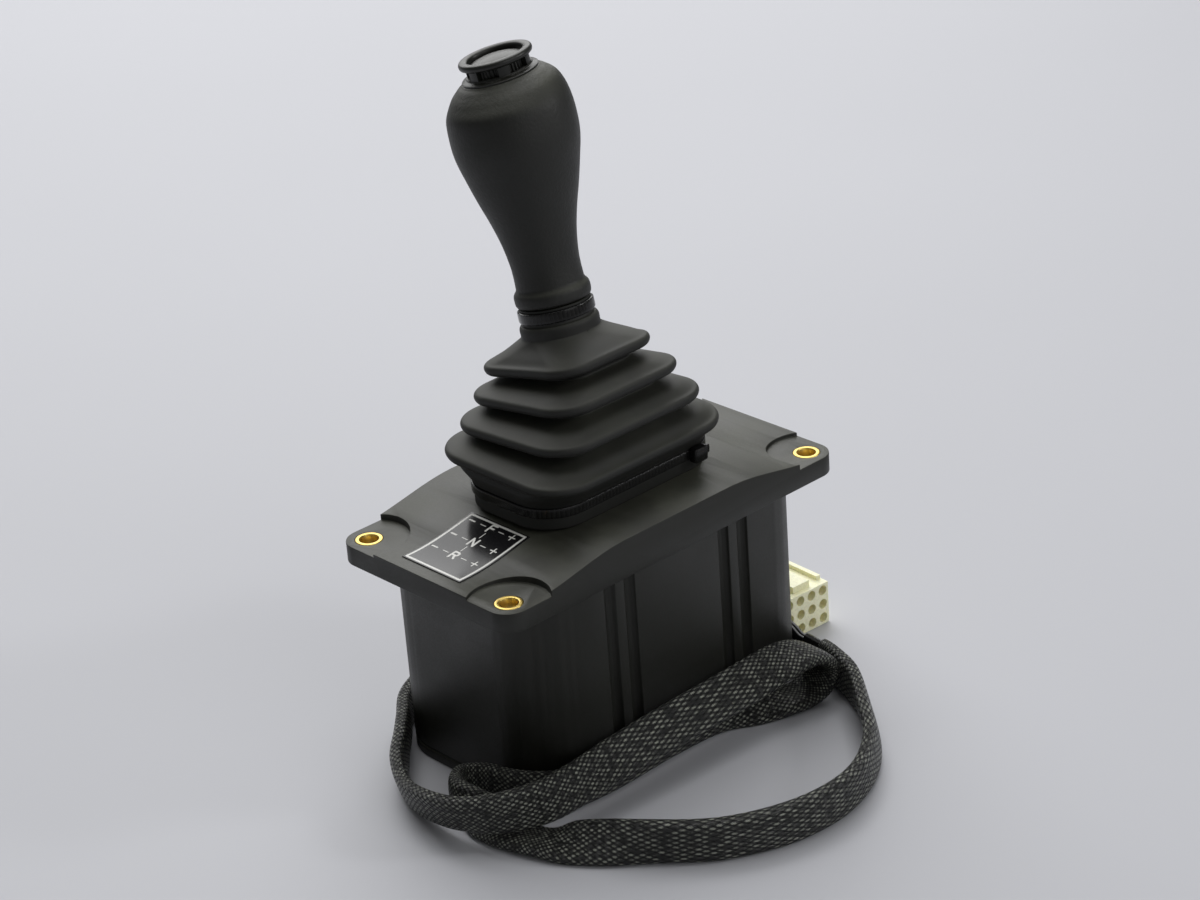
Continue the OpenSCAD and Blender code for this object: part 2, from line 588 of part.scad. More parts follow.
// The sleeve from the grommet to its cut end, chosen by hand: each point has a place in plan, the height of
// the sleeve's lower edge above the floor, and the direction of the sleeve's width.
sleeve_route = [
    [[-8, 37.1, 8], [0, 0, 1]], [[-8, 39, 8], [0, 0, 1]], [[-9.8, 42.6, 7.6], [0, 0, 1]],
    [[-16, 45.2, 6.2], [0, 0, 1]], [[-28, 43, 3.2], [0, 0, 1]], [[-40, 39.8, 0.8], [0, 0, 1]],
    [[-49.5, 35.2, 0.2], [0, 0, 1]], [[-56.6, 27.8, 0.1], [0, 0, 1]], [[-64.2, 20, 0.1], [0, 0, 1]],
    [[-73.2, 10, 0.2], [-0.2, 0, 1]], [[-79.6, -2, 0.8], [-0.4, -0.1, 1]],
    [[-82.4, -14, 2.8], [-0.4, -0.1, 1]], [[-81.6, -26, 4.6], [-0.3, -0.2, 1]],
    [[-75.5, -35.5, 5.3], [-0.1, 0, 1]], [[-64, -41.8, 6.2], [0, 0.2, 1]], [[-52, -44, 7.8], [0, 0.3, 1]],
    [[-37, -45.2, 10], [0, 0.4, 1]], [[-14, -45.6, 11.2], [0, 0.6, 1]], [[12, -45.8, 12.1], [0, 0.8, 0.9]],
    [[28, -46.5, 14.7], [0, 1, 0.5]], [[38.5, -47.1, 14.7], [0, 1, 0.1]], [[44.4, -47.4, 9.6], [0, 1, 0]],
    [[42.8, -47.1, 3.8], [0, 1, 0]], [[36, -45.4, 0.3], [0, 1, 0]], [[24, -42, 0.1], [0, 0.7, 0.5]],
    [[11, -38.4, 0.1], [0, 0.2, 1]], [[-8, -37.4, 0.1], [0, 0, 1]], [[-36, -37.4, 0.1], [0, 0, 1]],
    [[-50.6, -33.8, 0.1], [0, 0, 1]], [[-58.2, -25, 0.1], [0, 0, 1]], [[-61.5, -15.5, 0.1], [0, 0, 1]],
    [[-66.5, -10.4, 0.1], [0, 0, 1]], [[-71.6, -13.2, 0.1], [0, 0, 1]], [[-72.8, -20.5, 0.1], [0.2, 0, 1]],
    [[-71.2, -29, 0.1], [1, 0.2, 0.5]], [[-69.8, -37.5, 0.1], [1, 0.2, 0]], [[-67, -46, 0.1], [1, 0.4, 0]],
    [[-62.5, -56.5, 0.1], [0.7, 0.6, 0.8]], [[-54, -70, 0.1], [0.1, 0.1, 1]],
    [[-38, -86.3, 0.1], [0, 0, 1]], [[-17, -95.6, 0.1], [0, 0, 1]], [[4, -95.8, 0.1], [0, 0, 1]],
    [[23, -86.5, 0.1], [-0.1, 0.1, 1]], [[38, -70.5, 0.1], [-0.2, 0.1, 1]], [[47, -57.5, 0.1], [0, 0, 1]],
    [[51.5, -46, 0.1], [0, 0, 1]], [[52.5, -40.8, 0.1], [0, 0, 1]]];

// Half the height of the flat section when its width points along w.
function half_height(w) = let (u = w[2] / norm(w)) sqrt(pow(sleeve_w / 2 * u, 2) + pow(sleeve_t / 2, 2) * (1 - u * u));
function on_floor(p, w) = [p[0], p[1], floor_z + p[2] + half_height(w)];

// The cord's pieces lie this far from what they run up to.
gap_cord = 0.3;

// The route is smoothed to a ring about every dozen millimetres of sleeve.
sleeve_path = spline([for (p = sleeve_route) on_floor(p[0], p[1])], 2);
sleeve_wide = spline([for (p = sleeve_route) p[1]], 2);

module cable_sleeve() color([0.15, 0.15, 0.14])
    flat_tube(sleeve_path, sleeve_wide, sleeve_w / 2, sleeve_t / 2, 10);

ways_x = 4;
ways_z = 3;
conn_x = ways_x * way_pitch;
conn_z = ways_z * way_pitch - 0.2;
conn_l = 22;
conn_wall = 0.6;
cavity_r = 1.65;

// A short shrink tube closes the sleeve's end over its wires.
end_l = 7.5;
end_place = sleeve_path[len(sleeve_path) - 1];
end_way = heading(sleeve_path, len(sleeve_path) - 1);
bundle_w = 9.2;
bundle_t = 2.6;

module sleeve_end() color(GLOSS)
    flat_tube([for (d = [gap_cord, end_l / 2, end_l]) end_place + end_way * d], [[0, 0, 1], [0, 0, 1], [0, 0, 1]],
        bundle_w / 2 + 1, bundle_t / 2 + 1.2, 16);

// The wires run as a flat ribbon between the box and the connector and turn back into its rear.
bundle_start = end_place + end_way * (end_l + gap_cord);
bundle_z = floor_z + conn_z / 2;
bundle_route = [bundle_start, bundle_start + end_way * 3, [55.8, -25.5, bundle_z], [58, -18, bundle_z],
    [58.2, -7, bundle_z], [58.8, 4.5, bundle_z], [61.5, 11.6, bundle_z], [66.8, 14, bundle_z],
    [70.8, 11, bundle_z], [71.2, 4.5, bundle_z], [70.8, 0.9, bundle_z]];

module wire_bundle() color([0.2, 0.2, 0.2]) {
    path = spline(bundle_route, 3);
    flat_tube(path, [for (p = path) [0, 0, 1]], bundle_w / 2, bundle_t / 2, 10);
}

module inner_harness() color([0.2, 0.2, 0.2]) {
    side = header_y + 7;
    mid = board_z + board_t + header_h / 2;
    path = spline([[grommet_x, body_y / 2 + 2.2, grommet_z], [grommet_x, body_y / 2, grommet_z],
        [grommet_x, side + 11, grommet_z + 0.6], [grommet_x, side + 7.2, mid - 3.2], [grommet_x, side + 4.4, mid - 0.6],
        [grommet_x, side + 2, mid], [grommet_x, side + 0.6, mid], [grommet_x, side, mid]], 2);
    flat_tube(path, [for (p = path) [1, 0, 0]], cable_r, cable_r, 10);
}

// The connector's own frame: mating face towards -Y, ways along X in rows up Z.
module on_connector() translate([70.3, -7, floor_z + conn_z / 2]) rotate([0, 0, -3]) children();

module each_way() for (i = [0 : ways_x - 1], k = [0 : ways_z - 1])
    translate([(i - (ways_x - 1) / 2) * way_pitch, 0, (k - (ways_z - 1) / 2) * way_pitch]) children();

module connector_housing() color(CREAM) on_connector() difference() {
    union() {
        translate([-conn_x / 2, -conn_l / 2, -conn_z / 2]) cube([conn_x, conn_l, conn_z]);
        translate([-3.5, -conn_l / 2 + 2, conn_z / 2 - eps]) cube([7, 3, 2.2]);
        translate([-3.5, -conn_l / 2 + 4, conn_z / 2 + 1.2]) cube([7, 12, 1]);
        for (s = [-1, 1]) translate([s * (conn_x / 2 - 1.2) - 0.8, -conn_l / 2 + 3, conn_z / 2 - eps])
            cube([1.6, 15, 1.4]);
    }
    each_way() pin_y(cavity_r, -conn_l / 2 - 1, conn_l / 2 - 6);
    translate([-conn_x / 2 + conn_wall, conn_l / 2 - 7, -conn_z / 2 + conn_wall])
        cube([conn_x - 2 * conn_wall, 8, conn_z - 2 * conn_wall]);
}

module connector_contacts() color(BRASS) on_connector() each_way() difference() {
    pin_y(cavity_r - 0.05, -conn_l / 2 + 3, conn_l / 2 - 4);
    pin_y(cavity_r - 0.6, -conn_l / 2 + 2, conn_l / 2 - 9);
}

housing();
bottom_cover();
cover_gasket();
cover_screws();
flange_bushings();
label();
boot();
boot_base_tie();
boot_neck_tie();
gimbal_bracket();
bracket_screws();
pivot_bushes();
yoke();
yoke_pins();
cross_pin();
pin_clips();
detent_plate();
detent_screws();
detent_ball();
detent_spring();
centring_springs();
lever_hub();
lever_shaft();
magnet_holder();
magnet();
grip();
button_guard();
push_button();
button_switch();
button_spring();
circuit_board();
board_chips();
hall_sensors();
board_header();
board_screws();
inner_harness();
cable_grommet();
cable_sleeve();
sleeve_end();
wire_bundle();
connector_housing();
connector_contacts();
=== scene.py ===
import math

import bmesh
import bpy
import numpy as np
from bpy.props import FloatProperty, FloatVectorProperty, PointerProperty
from mathutils import Matrix, Vector


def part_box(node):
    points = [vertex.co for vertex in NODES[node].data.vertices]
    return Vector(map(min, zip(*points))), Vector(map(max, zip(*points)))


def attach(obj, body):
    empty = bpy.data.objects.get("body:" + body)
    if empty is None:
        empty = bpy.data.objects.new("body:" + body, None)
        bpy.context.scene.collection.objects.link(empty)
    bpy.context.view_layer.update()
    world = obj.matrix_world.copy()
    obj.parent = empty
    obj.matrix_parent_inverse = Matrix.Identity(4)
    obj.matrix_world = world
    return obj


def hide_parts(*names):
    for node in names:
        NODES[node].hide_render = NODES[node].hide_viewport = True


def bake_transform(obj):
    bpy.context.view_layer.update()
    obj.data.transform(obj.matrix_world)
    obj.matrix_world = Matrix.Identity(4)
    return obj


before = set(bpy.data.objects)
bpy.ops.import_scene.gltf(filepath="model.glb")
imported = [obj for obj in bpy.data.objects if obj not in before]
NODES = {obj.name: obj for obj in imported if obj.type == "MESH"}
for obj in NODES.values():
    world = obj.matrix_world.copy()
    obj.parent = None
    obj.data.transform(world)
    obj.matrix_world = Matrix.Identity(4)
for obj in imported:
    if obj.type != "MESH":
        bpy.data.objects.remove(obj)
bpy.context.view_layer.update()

bl_info = {
    "name": "Industrial Joystick",
    "version": (1, 0, 0),
    "blender": (4, 5, 0),
    "location": "View3D > Sidebar > Joystick",
    "description": "A flange-mounted cab joystick with a pleated boot, a cranked grip and a braided lead",
    "category": "Object",
}

MM = 0.001


def size(name, default, description):
    """A length property in millimetres of the real thing, kept in metres."""
    return FloatProperty(name=name, description=description, default=default * MM, min=0.0, unit="LENGTH")


def tint(name, rgb, description):
    """A colour property."""
    return FloatVectorProperty(name=name, description=description, default=rgb, size=3, min=0.0, max=1.0,
                               subtype="COLOR")


class JoystickSizes(bpy.types.PropertyGroup):
    """Sizes that the pieces made here share with the frame."""
    crank: FloatProperty(name="Crank", description="Angle of the bend in the lever",
                         default=math.radians(13), subtype="ANGLE")
    bend: size("Bend height", 17, "Height of the bend above the flange ears")
    neck: size("Neck length", 43.5, "Length from the bend to the grip's lip")
    grip_length: size("Grip length", 67.6, "Length of the grip")
    grip_width: size("Grip diameter", 37, "Largest diameter of the grip")
    foot_x: size("Boot foot length", 69, "Length of the boot's foot")
    foot_y: size("Boot foot width", 40, "Width of the boot's foot")
    foot_r: size("Boot foot corner", 13, "Corner radius of the boot's foot")
    rubber: size("Rubber thickness", 1.7, "Thickness of the boot")
    fold: size("Pleat depth", 6.6, "How far the valleys lie inside the lips")
    tie_height: size("Base tie height", 9.7, "Height of the lower edge of the base tie")
    sleeve_width: size("Sleeve width", 13, "Width of the flat braided sleeve")
    sleeve_thick: size("Sleeve thickness", 4.4, "Thickness of the flat braided sleeve")
    strand: size("Braid pitch", 2.2, "Length of one diamond of the braid")


class JoystickColours(bpy.types.PropertyGroup):
    """Colours of the finishes."""
    housing: tint("Housing", (0.0120, 0.0125, 0.0092), "Moulded nylon of the box and flange")
    boot: tint("Boot", (0.0085, 0.0090, 0.0070), "Rubber of the boot")
    grip: tint("Grip", (0.0075, 0.0080, 0.0060), "Soft elastomer of the grip")
    gloss: tint("Gloss black", (0.006, 0.006, 0.006), "Cable ties and button guard")
    film: tint("Label film", (0.008, 0.008, 0.009), "Ground of the label")
    ink: tint("Label print", (0.78, 0.78, 0.74), "Lines and letters of the label")
    brass: tint("Brass", (0.74, 0.55, 0.17), "Bolt bushings and contacts")
    plug: tint("Plug", (0.97, 0.95, 0.66), "Natural nylon of the connector")
    braid: tint("Braid", (0.0065, 0.0070, 0.0060), "Monofilament of the sleeve")
    # Painted highlight: this colour is painted on the tops of the braid's crossings in place of light.
    painted_glint: tint("Braid glint", (0.50, 0.52, 0.44), "Light caught on the crossings of the braid")
    steel: tint("Steel", (0.60, 0.61, 0.62), "Zinc-plated parts of the mechanism")
    board: tint("Board", (0.035, 0.16, 0.07), "Solder mask of the circuit board")
    floor: tint("Floor", (0.52, 0.525, 0.56), "The surface it stands on")


def sizes():
    return bpy.context.scene.joystick_sizes


def colours():
    return bpy.context.scene.joystick_colours


# ---- Surfaces ----

class Skin:
    """Gathers grids of points and turns them into one mesh with a UV map."""

    def __init__(self):
        self.points, self.faces, self.uv, self.count = [], [], [], 0

    def grid(self, p, around=True, loop=False, caps=False, flip=False, uv_scale=(1.0, 1.0)):
        """p[i, j] is place j on ring i. Each place joins its neighbours in a quad; around closes each ring,
        loop joins the last ring to the first, and caps close both ends with a fan about the ring's middle."""
        p = np.asarray(p, float)
        m, n = p.shape[:2]
        i, j = np.meshgrid(np.arange(m if loop else m - 1), np.arange(n if around else n - 1), indexing="ij")
        i2, j2 = (i + 1) % m, (j + 1) % n
        quad = np.stack([i * n + j, i * n + j2, i2 * n + j2, i2 * n + j], -1).reshape(-1, 4)
        u, v = uv_scale[0] / (n if around else n - 1), uv_scale[1] / (m - 1)
        uv = np.stack([np.stack([j * u, i * v], -1), np.stack([(j + 1) * u, i * v], -1),
                       np.stack([(j + 1) * u, (i + 1) * v], -1), np.stack([j * u, (i + 1) * v], -1)],
                      2).reshape(-1, 4, 2)
        self._add(p.reshape(-1, 3), quad, uv, flip)
        if caps:
            for ring, turned in ((p[0], not flip), (p[-1], flip)):
                fan = np.vstack([ring, ring.mean(0)])
                k = np.arange(n)
                tri = np.stack([k, (k + 1) % n, np.full(n, n)], -1)
                self._add(fan, tri, np.zeros((n, 3, 2)), turned)
        return self

    def _add(self, p, f, uv, flip):
        if flip:
            f, uv = f[:, ::-1], uv[:, ::-1]
        self.points.append(p)
        self.faces.append(f + self.count)
        self.uv.append(uv)
        self.count += len(p)

    def mesh(self, name, material, angle=None, weld=True):
        """Makes the gathered grids one piece; edges sharper than the angle stay sharp."""
        data = bpy.data.meshes.new(name)
        data.from_pydata(np.vstack(self.points).tolist(), [], [f for a in self.faces for f in a.tolist()])
        layer = data.uv_layers.new(name="UVMap")
        layer.data.foreach_set("uv", np.concatenate([a.reshape(-1) for a in self.uv]).astype(np.float32))
        data.polygons.foreach_set("use_smooth", np.ones(len(data.polygons), bool))
        data.materials.append(material)
        data.update()
        piece = bpy.data.objects.new(name, data)
        bpy.context.scene.collection.objects.link(piece)
        if weld:
            merge(data)
        if angle:
            data.set_sharp_from_angle(angle=math.radians(angle))
        return piece


def merge(data, distance=1e-6):
    """Joins points that lie on each other, such as the rims of caps."""
    b = bmesh.new()
    b.from_mesh(data)
    bmesh.ops.remove_doubles(b, verts=b.verts, dist=distance)
    b.to_mesh(data)
    b.free()


def smooth_line(p, n):
    """Catmull-Rom curve through the rows of p, with n steps between each pair."""
    p = np.asarray(p, float)
    q = np.vstack([p[:1], p, p[-1:]])
    t = (np.arange(n) / n)[None, :, None]
    a, b, c, d = (q[k:len(p) - 1 + k, None] for k in range(4))
    s = 0.5 * (2 * b + (c - a) * t + (2 * a - 5 * b + 4 * c - d) * t**2 + (3 * b - a - 3 * c + d) * t**3)
    return np.vstack([s.reshape(-1, p.shape[1]), p[-1:]])


def unit(v):
    """Each vector over its own length."""
    return v / np.maximum(np.linalg.norm(v, axis=-1, keepdims=True), 1e-12)


def headings(path):
    """Direction at each point of a path: the difference of its neighbours."""
    ahead, behind = np.vstack([path[1:], path[-1:]]), np.vstack([path[:1], path[:-1]])
    return unit(ahead - behind)


def blunt(f, power):
    """The size of f raised to the power, with its sign kept."""
    return np.sign(f) * np.abs(f) ** power


def flat_rings(path, wide, hw, ht, n, power):
    """Rings of a flattened tube: each is a superellipse, half width hw along wide and half height ht across
    it, with even steps along it. A power below 1 squares it up."""
    d = headings(path)
    a = unit(wide - d * (wide * d).sum(1, keepdims=True))
    b = np.cross(d, a)
    t = np.linspace(0, 2 * np.pi, 1441)
    c, s = hw * blunt(np.cos(t), power), ht * blunt(np.sin(t), power)
    run = np.concatenate([[0], np.cumsum(np.hypot(np.diff(c), np.diff(s)))])
    at = np.linspace(0, run[-1], n, endpoint=False)
    c, s = np.interp(at, run, c), np.interp(at, run, s)
    return path[:, None] + a[:, None] * c[None, :, None] + b[:, None] * s[None, :, None]


def turned(profile, n):
    """A profile of radius and height carried round Z: ring i has the radius and height of row i."""
    r, z = np.asarray(profile, float).T
    t = 2 * np.pi * np.arange(n) / n
    return np.stack([r[:, None] * np.cos(t), r[:, None] * np.sin(t), np.repeat(z[:, None], n, 1)], -1)


def moved(points, matrix):
    """The points carried by a 4x4 matrix."""
    m = np.array(matrix)
    return np.asarray(points) @ m[:3, :3].T + m[:3, 3]


def on_grip():
    """Frame of the cranked part of the lever: Z runs up the grip from the bend."""
    s = sizes()
    return Matrix.Translation((0, 0, s.bend)) @ Matrix.Rotation(-s.crank, 4, "X")


def on_head():
    """Frame of the grip's head: Z is the push button's axis."""
    s = sizes()
    return (on_grip() @ Matrix.Translation((0, 0, s.neck + s.grip_length - 2 * MM))
            @ Matrix.Rotation(math.radians(-7), 4, "Y") @ Matrix.Rotation(math.radians(2), 4, "X"))


def rounded_ring(row, n):
    """A rounded rectangle of half length hx, half width hy and corner radius r about the lever's line,
    shifted by cx and cy, lifted to z and tilted about X. Its places are spread evenly along the outline."""
    hx, hy, r, cy, z, tilt, cx = row
    k = n // 4
    corner = np.arange(k) / (k - 1) * np.pi / 2
    x, y = [], []
    for q, (sx, sy) in enumerate(((1, 1), (-1, 1), (-1, -1), (1, -1))):
        x.append(sx * (hx - r) + r * np.cos(corner + q * np.pi / 2))
        y.append(sy * (hy - r) + r * np.sin(corner + q * np.pi / 2))
    x, y = np.concatenate(x), np.concatenate(y)
    p = np.stack([cx + x, cy + y * math.cos(tilt), z - y * math.sin(tilt)], -1)
    step = np.linalg.norm(np.roll(p, -1, 0) - p, axis=1)
    s = np.concatenate([[0], np.cumsum(step)])
    at = np.linspace(0, s[-1], n, endpoint=False)
    return np.stack([np.interp(at, s, np.append(p[:, c], p[0, c])) for c in range(3)], -1)


# ---- Shader groups ----

def group(name, inputs, outputs):
    """A new shader node group with named sockets; returns it with its input and output nodes."""
    g = bpy.data.node_groups.new(name, "ShaderNodeTree")
    kinds = {"float": "NodeSocketFloat", "vector": "NodeSocketVector", "colour": "NodeSocketColor"}
    for label, kind, value in inputs:
        sock = g.interface.new_socket(name=label, in_out="INPUT", socket_type=kinds[kind])
        if value is not None:
            sock.default_value = value
    for label, kind in outputs:
        g.interface.new_socket(name=label, in_out="OUTPUT", socket_type=kinds[kind])
    return g, g.nodes.new("NodeGroupInput"), g.nodes.new("NodeGroupOutput")


class Wire:
    """Short hand for building a node tree."""

    def __init__(self, tree):
        self.tree = tree

    def node(self, kind, links=(), **values):
        n = self.tree.nodes.new(kind)
        for k, v in values.items():
            setattr(n, k, v)
        for socket, value in dict(links).items():
            self.put(n.inputs[socket], value)
        return n

    def put(self, socket, value):
        if isinstance(value, bpy.types.NodeSocket):
            self.tree.links.new(value, socket)
        elif isinstance(value, bpy.types.Node):
            self.tree.links.new(value.outputs[0], socket)
        else:
            socket.default_value = value

    def math(self, operation, a, b=0.0, c=0.0):
        return self.node("ShaderNodeMath", {0: a, 1: b, 2: c}, operation=operation).outputs[0]

    def mix(self, factor, a, b):
        n = self.node("ShaderNodeMix", data_type="RGBA", blend_type="MIX")
        self.put(n.inputs[0], factor)
        self.put(n.inputs[6], a)
        self.put(n.inputs[7], b)
        return n.outputs[2]

    def ramp(self, value, low, high, a=0.0, b=1.0):
        """A smooth step of value from a at low to b at high."""
        return self.node("ShaderNodeMapRange", {0: value, 1: low, 2: high, 3: a, 4: b},
                         interpolation_type="SMOOTHSTEP").outputs[0]

    def bump(self, shader, height, strength, depth):
        """Feeds a height to the shader's normal; the depth is in millimetres."""
        n = self.node("ShaderNodeBump", {"Height": height, "Strength": strength, "Distance": depth * MM})
        self.put(shader.inputs["Normal"], n.outputs[0])


DUST = (0.21, 0.215, 0.16, 1)


def grain_group():
    """Moulded grain: fine pits from noise, broad tone from slow noise, and a light bloom of dust on faces
    that look up. Puts out a colour, a roughness and a height."""
    g, i, o = group("Moulded Grain", [("Vector", "vector", None), ("Colour", "colour", (0.03, 0.03, 0.03, 1)),
                                      ("Grain Size", "float", 0.5), ("Tone Size", "float", 18.0),
                                      ("Tone", "float", 0.25), ("Dust", "float", 0.1),
                                      ("Roughness", "float", 0.5), ("Spread", "float", 0.1)],
                    [("Colour", "colour"), ("Roughness", "float"), ("Height", "float")])
    w = Wire(g)

    def noise(across, detail, roughness):
        scale = w.math("DIVIDE", 1 / MM, i.outputs[across])
        return w.node("ShaderNodeTexNoise", {"Vector": i.outputs["Vector"], "Detail": detail, "Scale": scale,
                                             "Roughness": roughness}).outputs[0]

    def swing(value):
        return w.math("SUBTRACT", value, 0.5)

    fine, slow = noise("Grain Size", 3.0, 0.6), noise("Tone Size", 4.0, 0.55)
    up = w.node("ShaderNodeSeparateXYZ", {0: w.node("ShaderNodeNewGeometry").outputs["Normal"]}).outputs[2]
    patchy = w.math("MULTIPLY", i.outputs["Dust"], w.ramp(slow, 0.3, 0.7, 0.5, 1.2))
    bloom = w.math("MULTIPLY", w.ramp(up, 0.3, 1.0), patchy)
    tone = w.math("MULTIPLY_ADD", swing(slow), i.outputs["Tone"], 1.0)
    fleck = w.math("MULTIPLY_ADD", swing(fine), 0.5, tone)
    scaled = w.node("ShaderNodeVectorMath", {0: i.outputs["Colour"], 1: fleck}, operation="MULTIPLY")
    w.put(o.inputs["Colour"], w.mix(bloom, scaled.outputs[0], DUST))
    rough = w.math("MULTIPLY_ADD", swing(fine), i.outputs["Spread"], i.outputs["Roughness"])
    w.put(o.inputs["Roughness"], w.math("MULTIPLY_ADD", swing(slow), i.outputs["Spread"], rough))
    w.put(o.inputs["Height"], fine)
    return g


def braid_group():
    """Open braid: two families of strands cross in diamonds. With u strands round and v diamonds along, the
    families are the whole parts of u+v and u-v. Across, a strand is one less the cube of the distance from
    its middle, split into four filaments by a cosine. Along, it is a sine, up and over the other family in
    turn. Puts out a height, a glint mask for a painted highlight on the tops and a mask of the open gaps,
    which the material darkens with painted shade."""
    g, i, o = group("Braid", [("UV", "vector", None)],
                    [("Height", "float"), ("Glint", "float"), ("Gap", "float")])
    w = Wire(g)
    xyz = w.node("ShaderNodeSeparateXYZ", {0: i.outputs[0]})
    a = w.math("ADD", xyz.outputs[0], xyz.outputs[1])
    b = w.math("SUBTRACT", xyz.outputs[0], xyz.outputs[1])

    def strand(across, along, sign):
        inside = w.math("MULTIPLY_ADD", w.math("FRACT", across), 2.0, -1.0)
        hump = w.math("SUBTRACT", 1.0, w.math("POWER", w.math("ABSOLUTE", inside), 3.0))
        wave = w.math("SINE", w.math("MULTIPLY", w.math("ADD", along, w.math("FLOOR", across)), math.pi))
        lift = w.math("MULTIPLY_ADD", wave, 0.5 * sign, 0.5)
        split = w.math("COSINE", w.math("MULTIPLY", inside, math.pi * 4))
        threads = w.math("MULTIPLY_ADD", split, 0.12, 0.88)
        rise = w.math("MULTIPLY_ADD", lift, 0.75, 0.25)
        return w.math("MULTIPLY", w.math("MULTIPLY", hump, threads), rise)

    over, under = strand(a, b, 1.0), strand(b, a, -1.0)
    top = w.math("MAXIMUM", over, under)
    noise = w.node("ShaderNodeTexNoise", {"Vector": i.outputs[0], "Scale": 0.9, "Detail": 3.0})
    w.put(o.inputs["Height"], top)
    patchy = w.ramp(noise.outputs[0], 0.40, 0.60)
    # Glint: a painted highlight mask on the tops of the crossings, broken into patches by noise.
    w.put(o.inputs["Glint"], w.math("MULTIPLY", w.ramp(top, 0.72, 0.90), patchy))
    # Gap: mask of the open gaps between strands, where the material paints shade.
    w.put(o.inputs["Gap"], w.ramp(top, 0.30, 0.55, 1.0, 0.0))
    return g


def teeth_group():
    """Ratchet teeth of a cable tie: a sawtooth along U inside the band's middle, plain at its edges."""
    g, i, o = group("Tie Teeth", [("UV", "vector", None), ("Count", "float", 100.0)], [("Height", "float")])
    w = Wire(g)
    xyz = w.node("ShaderNodeSeparateXYZ", {0: i.outputs[0]})
    saw = w.math("FRACT", w.math("MULTIPLY", xyz.outputs[0], i.outputs["Count"]))
    off = w.math("ABSOLUTE", w.math("SUBTRACT", xyz.outputs[1], 0.5))
    mask = w.ramp(off, 0.22, 0.30, 1.0, 0.0)
    w.put(o.inputs["Height"], w.math("MULTIPLY", saw, mask))
    return g


GROUPS = {}


def finish_material(name, base, roughness, metallic=0.0, **sockets):
    """An empty finish: a Principled shader with its constant values set on its own sockets."""
    m = bpy.data.materials.new(name)
    m.use_nodes = True
    m.diffuse_color = (*base, 1)
    shader = m.node_tree.nodes["Principled BSDF"]
    shader.inputs["Base Color"].default_value = (*base, 1)
    shader.inputs["Roughness"].default_value = roughness
    shader.inputs["Metallic"].default_value = metallic
    for label, value in sockets.items():
        shader.inputs[label.replace("_", " ")].default_value = value
    return m, Wire(m.node_tree), shader


def grained(name, base, roughness, grain=0.5, tone=0.25, dust=0.05, spread=0.12, bump=0.15, depth=0.05,
            tone_size=18.0, **sockets):
    """A moulded finish from the grain group, with its height as a bump."""
    m, w, shader = finish_material(name, base, roughness, **sockets)
    where = w.node("ShaderNodeTexCoord").outputs["Object"]
    g = w.node("ShaderNodeGroup", node_tree=GROUPS["grain"])
    for label, value in (("Vector", where), ("Colour", (*base, 1)), ("Grain Size", grain),
                         ("Tone Size", tone_size), ("Tone", tone), ("Dust", dust), ("Roughness", roughness),
                         ("Spread", spread)):
        w.put(g.inputs[label], value)
    w.put(shader.inputs["Base Color"], g.outputs["Colour"])
    w.put(shader.inputs["Roughness"], g.outputs["Roughness"])
    w.bump(shader, g.outputs["Height"], bump, depth)
    return m, w, shader, g


def brushed(name, base, roughness, spread=0.12, grain=0.25):
    """A turned or plated metal: the grain group with a strong spread of roughness."""
    return grained(name, base, roughness, grain=grain, tone=0.3, dust=0.0, spread=spread, bump=0.08,
                   depth=0.02, metallic=1.0)[0]


def braid_material():
    """The braid group: its gaps roughen the strands and darken them with painted shade, and its glint
    lightens their crossings as a painted highlight.
    """
    c = colours()
    m, w, shader = finish_material("Monofilament Braid", c.braid, 0.32)
    uv = w.node("ShaderNodeUVMap", uv_map="UVMap").outputs[0]
    g = w.node("ShaderNodeGroup", node_tree=GROUPS["braid"])
    w.put(g.inputs[0], uv)
    # Painted shade: the open gaps are coloured darker than the strands.
    shaded_gaps = w.mix(g.outputs["Gap"], (*c.braid, 1), (0.003, 0.003, 0.003, 1))
    # Painted highlight: the tops of the crossings take the glint colour.
    w.put(shader.inputs["Base Color"], w.mix(g.outputs["Glint"], shaded_gaps, (*c.painted_glint, 1)))
    w.put(shader.inputs["Roughness"], w.math("MULTIPLY_ADD", g.outputs["Gap"], 0.5, 0.30))
    w.bump(shader, g.outputs["Height"], 0.9, 0.6)
    return m


def tie_material(name, count):
    """Gloss nylon with so many ratchet teeth round the band; their height roughens it, and lightens it as a
    painted highlight up each tooth.
    """
    c = colours()
    m, w, shader = finish_material(name, c.gloss, 0.16, IOR=1.38)
    uv = w.node("ShaderNodeUVMap", uv_map="UVMap").outputs[0]
    g = w.node("ShaderNodeGroup", node_tree=GROUPS["teeth"])
    w.put(g.inputs["UV"], uv)
    w.put(g.inputs["Count"], float(count))
    # Painted highlight: the colour lightens up each tooth's ramp with its height.
    tooth_highlight = (0.014, 0.014, 0.013, 1)
    w.put(shader.inputs["Base Color"], w.mix(g.outputs["Height"], (*c.gloss, 1), tooth_highlight))
    w.put(shader.inputs["Roughness"], w.math("MULTIPLY_ADD", g.outputs["Height"], 0.10, 0.16))
    w.bump(shader, g.outputs["Height"], 0.35, 0.2)
    return m


def label_material():
    """Gloss film with printed lines: the mesh carries the print as an attribute, worked out from the distance
    to each stroke."""
    c = colours()
    m, w, shader, g = grained("Printed Film", c.film, 0.13, grain=0.8, tone=0.15, dust=0.0, spread=0.05,
                              bump=0.04)
    ink = w.node("ShaderNodeAttribute", attribute_name="print").outputs["Fac"]
    w.put(shader.inputs["Base Color"], w.mix(ink, g.outputs["Colour"], (*c.ink, 1)))
    w.put(shader.inputs["Roughness"], w.math("MULTIPLY_ADD", ink, 0.25, 0.14))
    return m


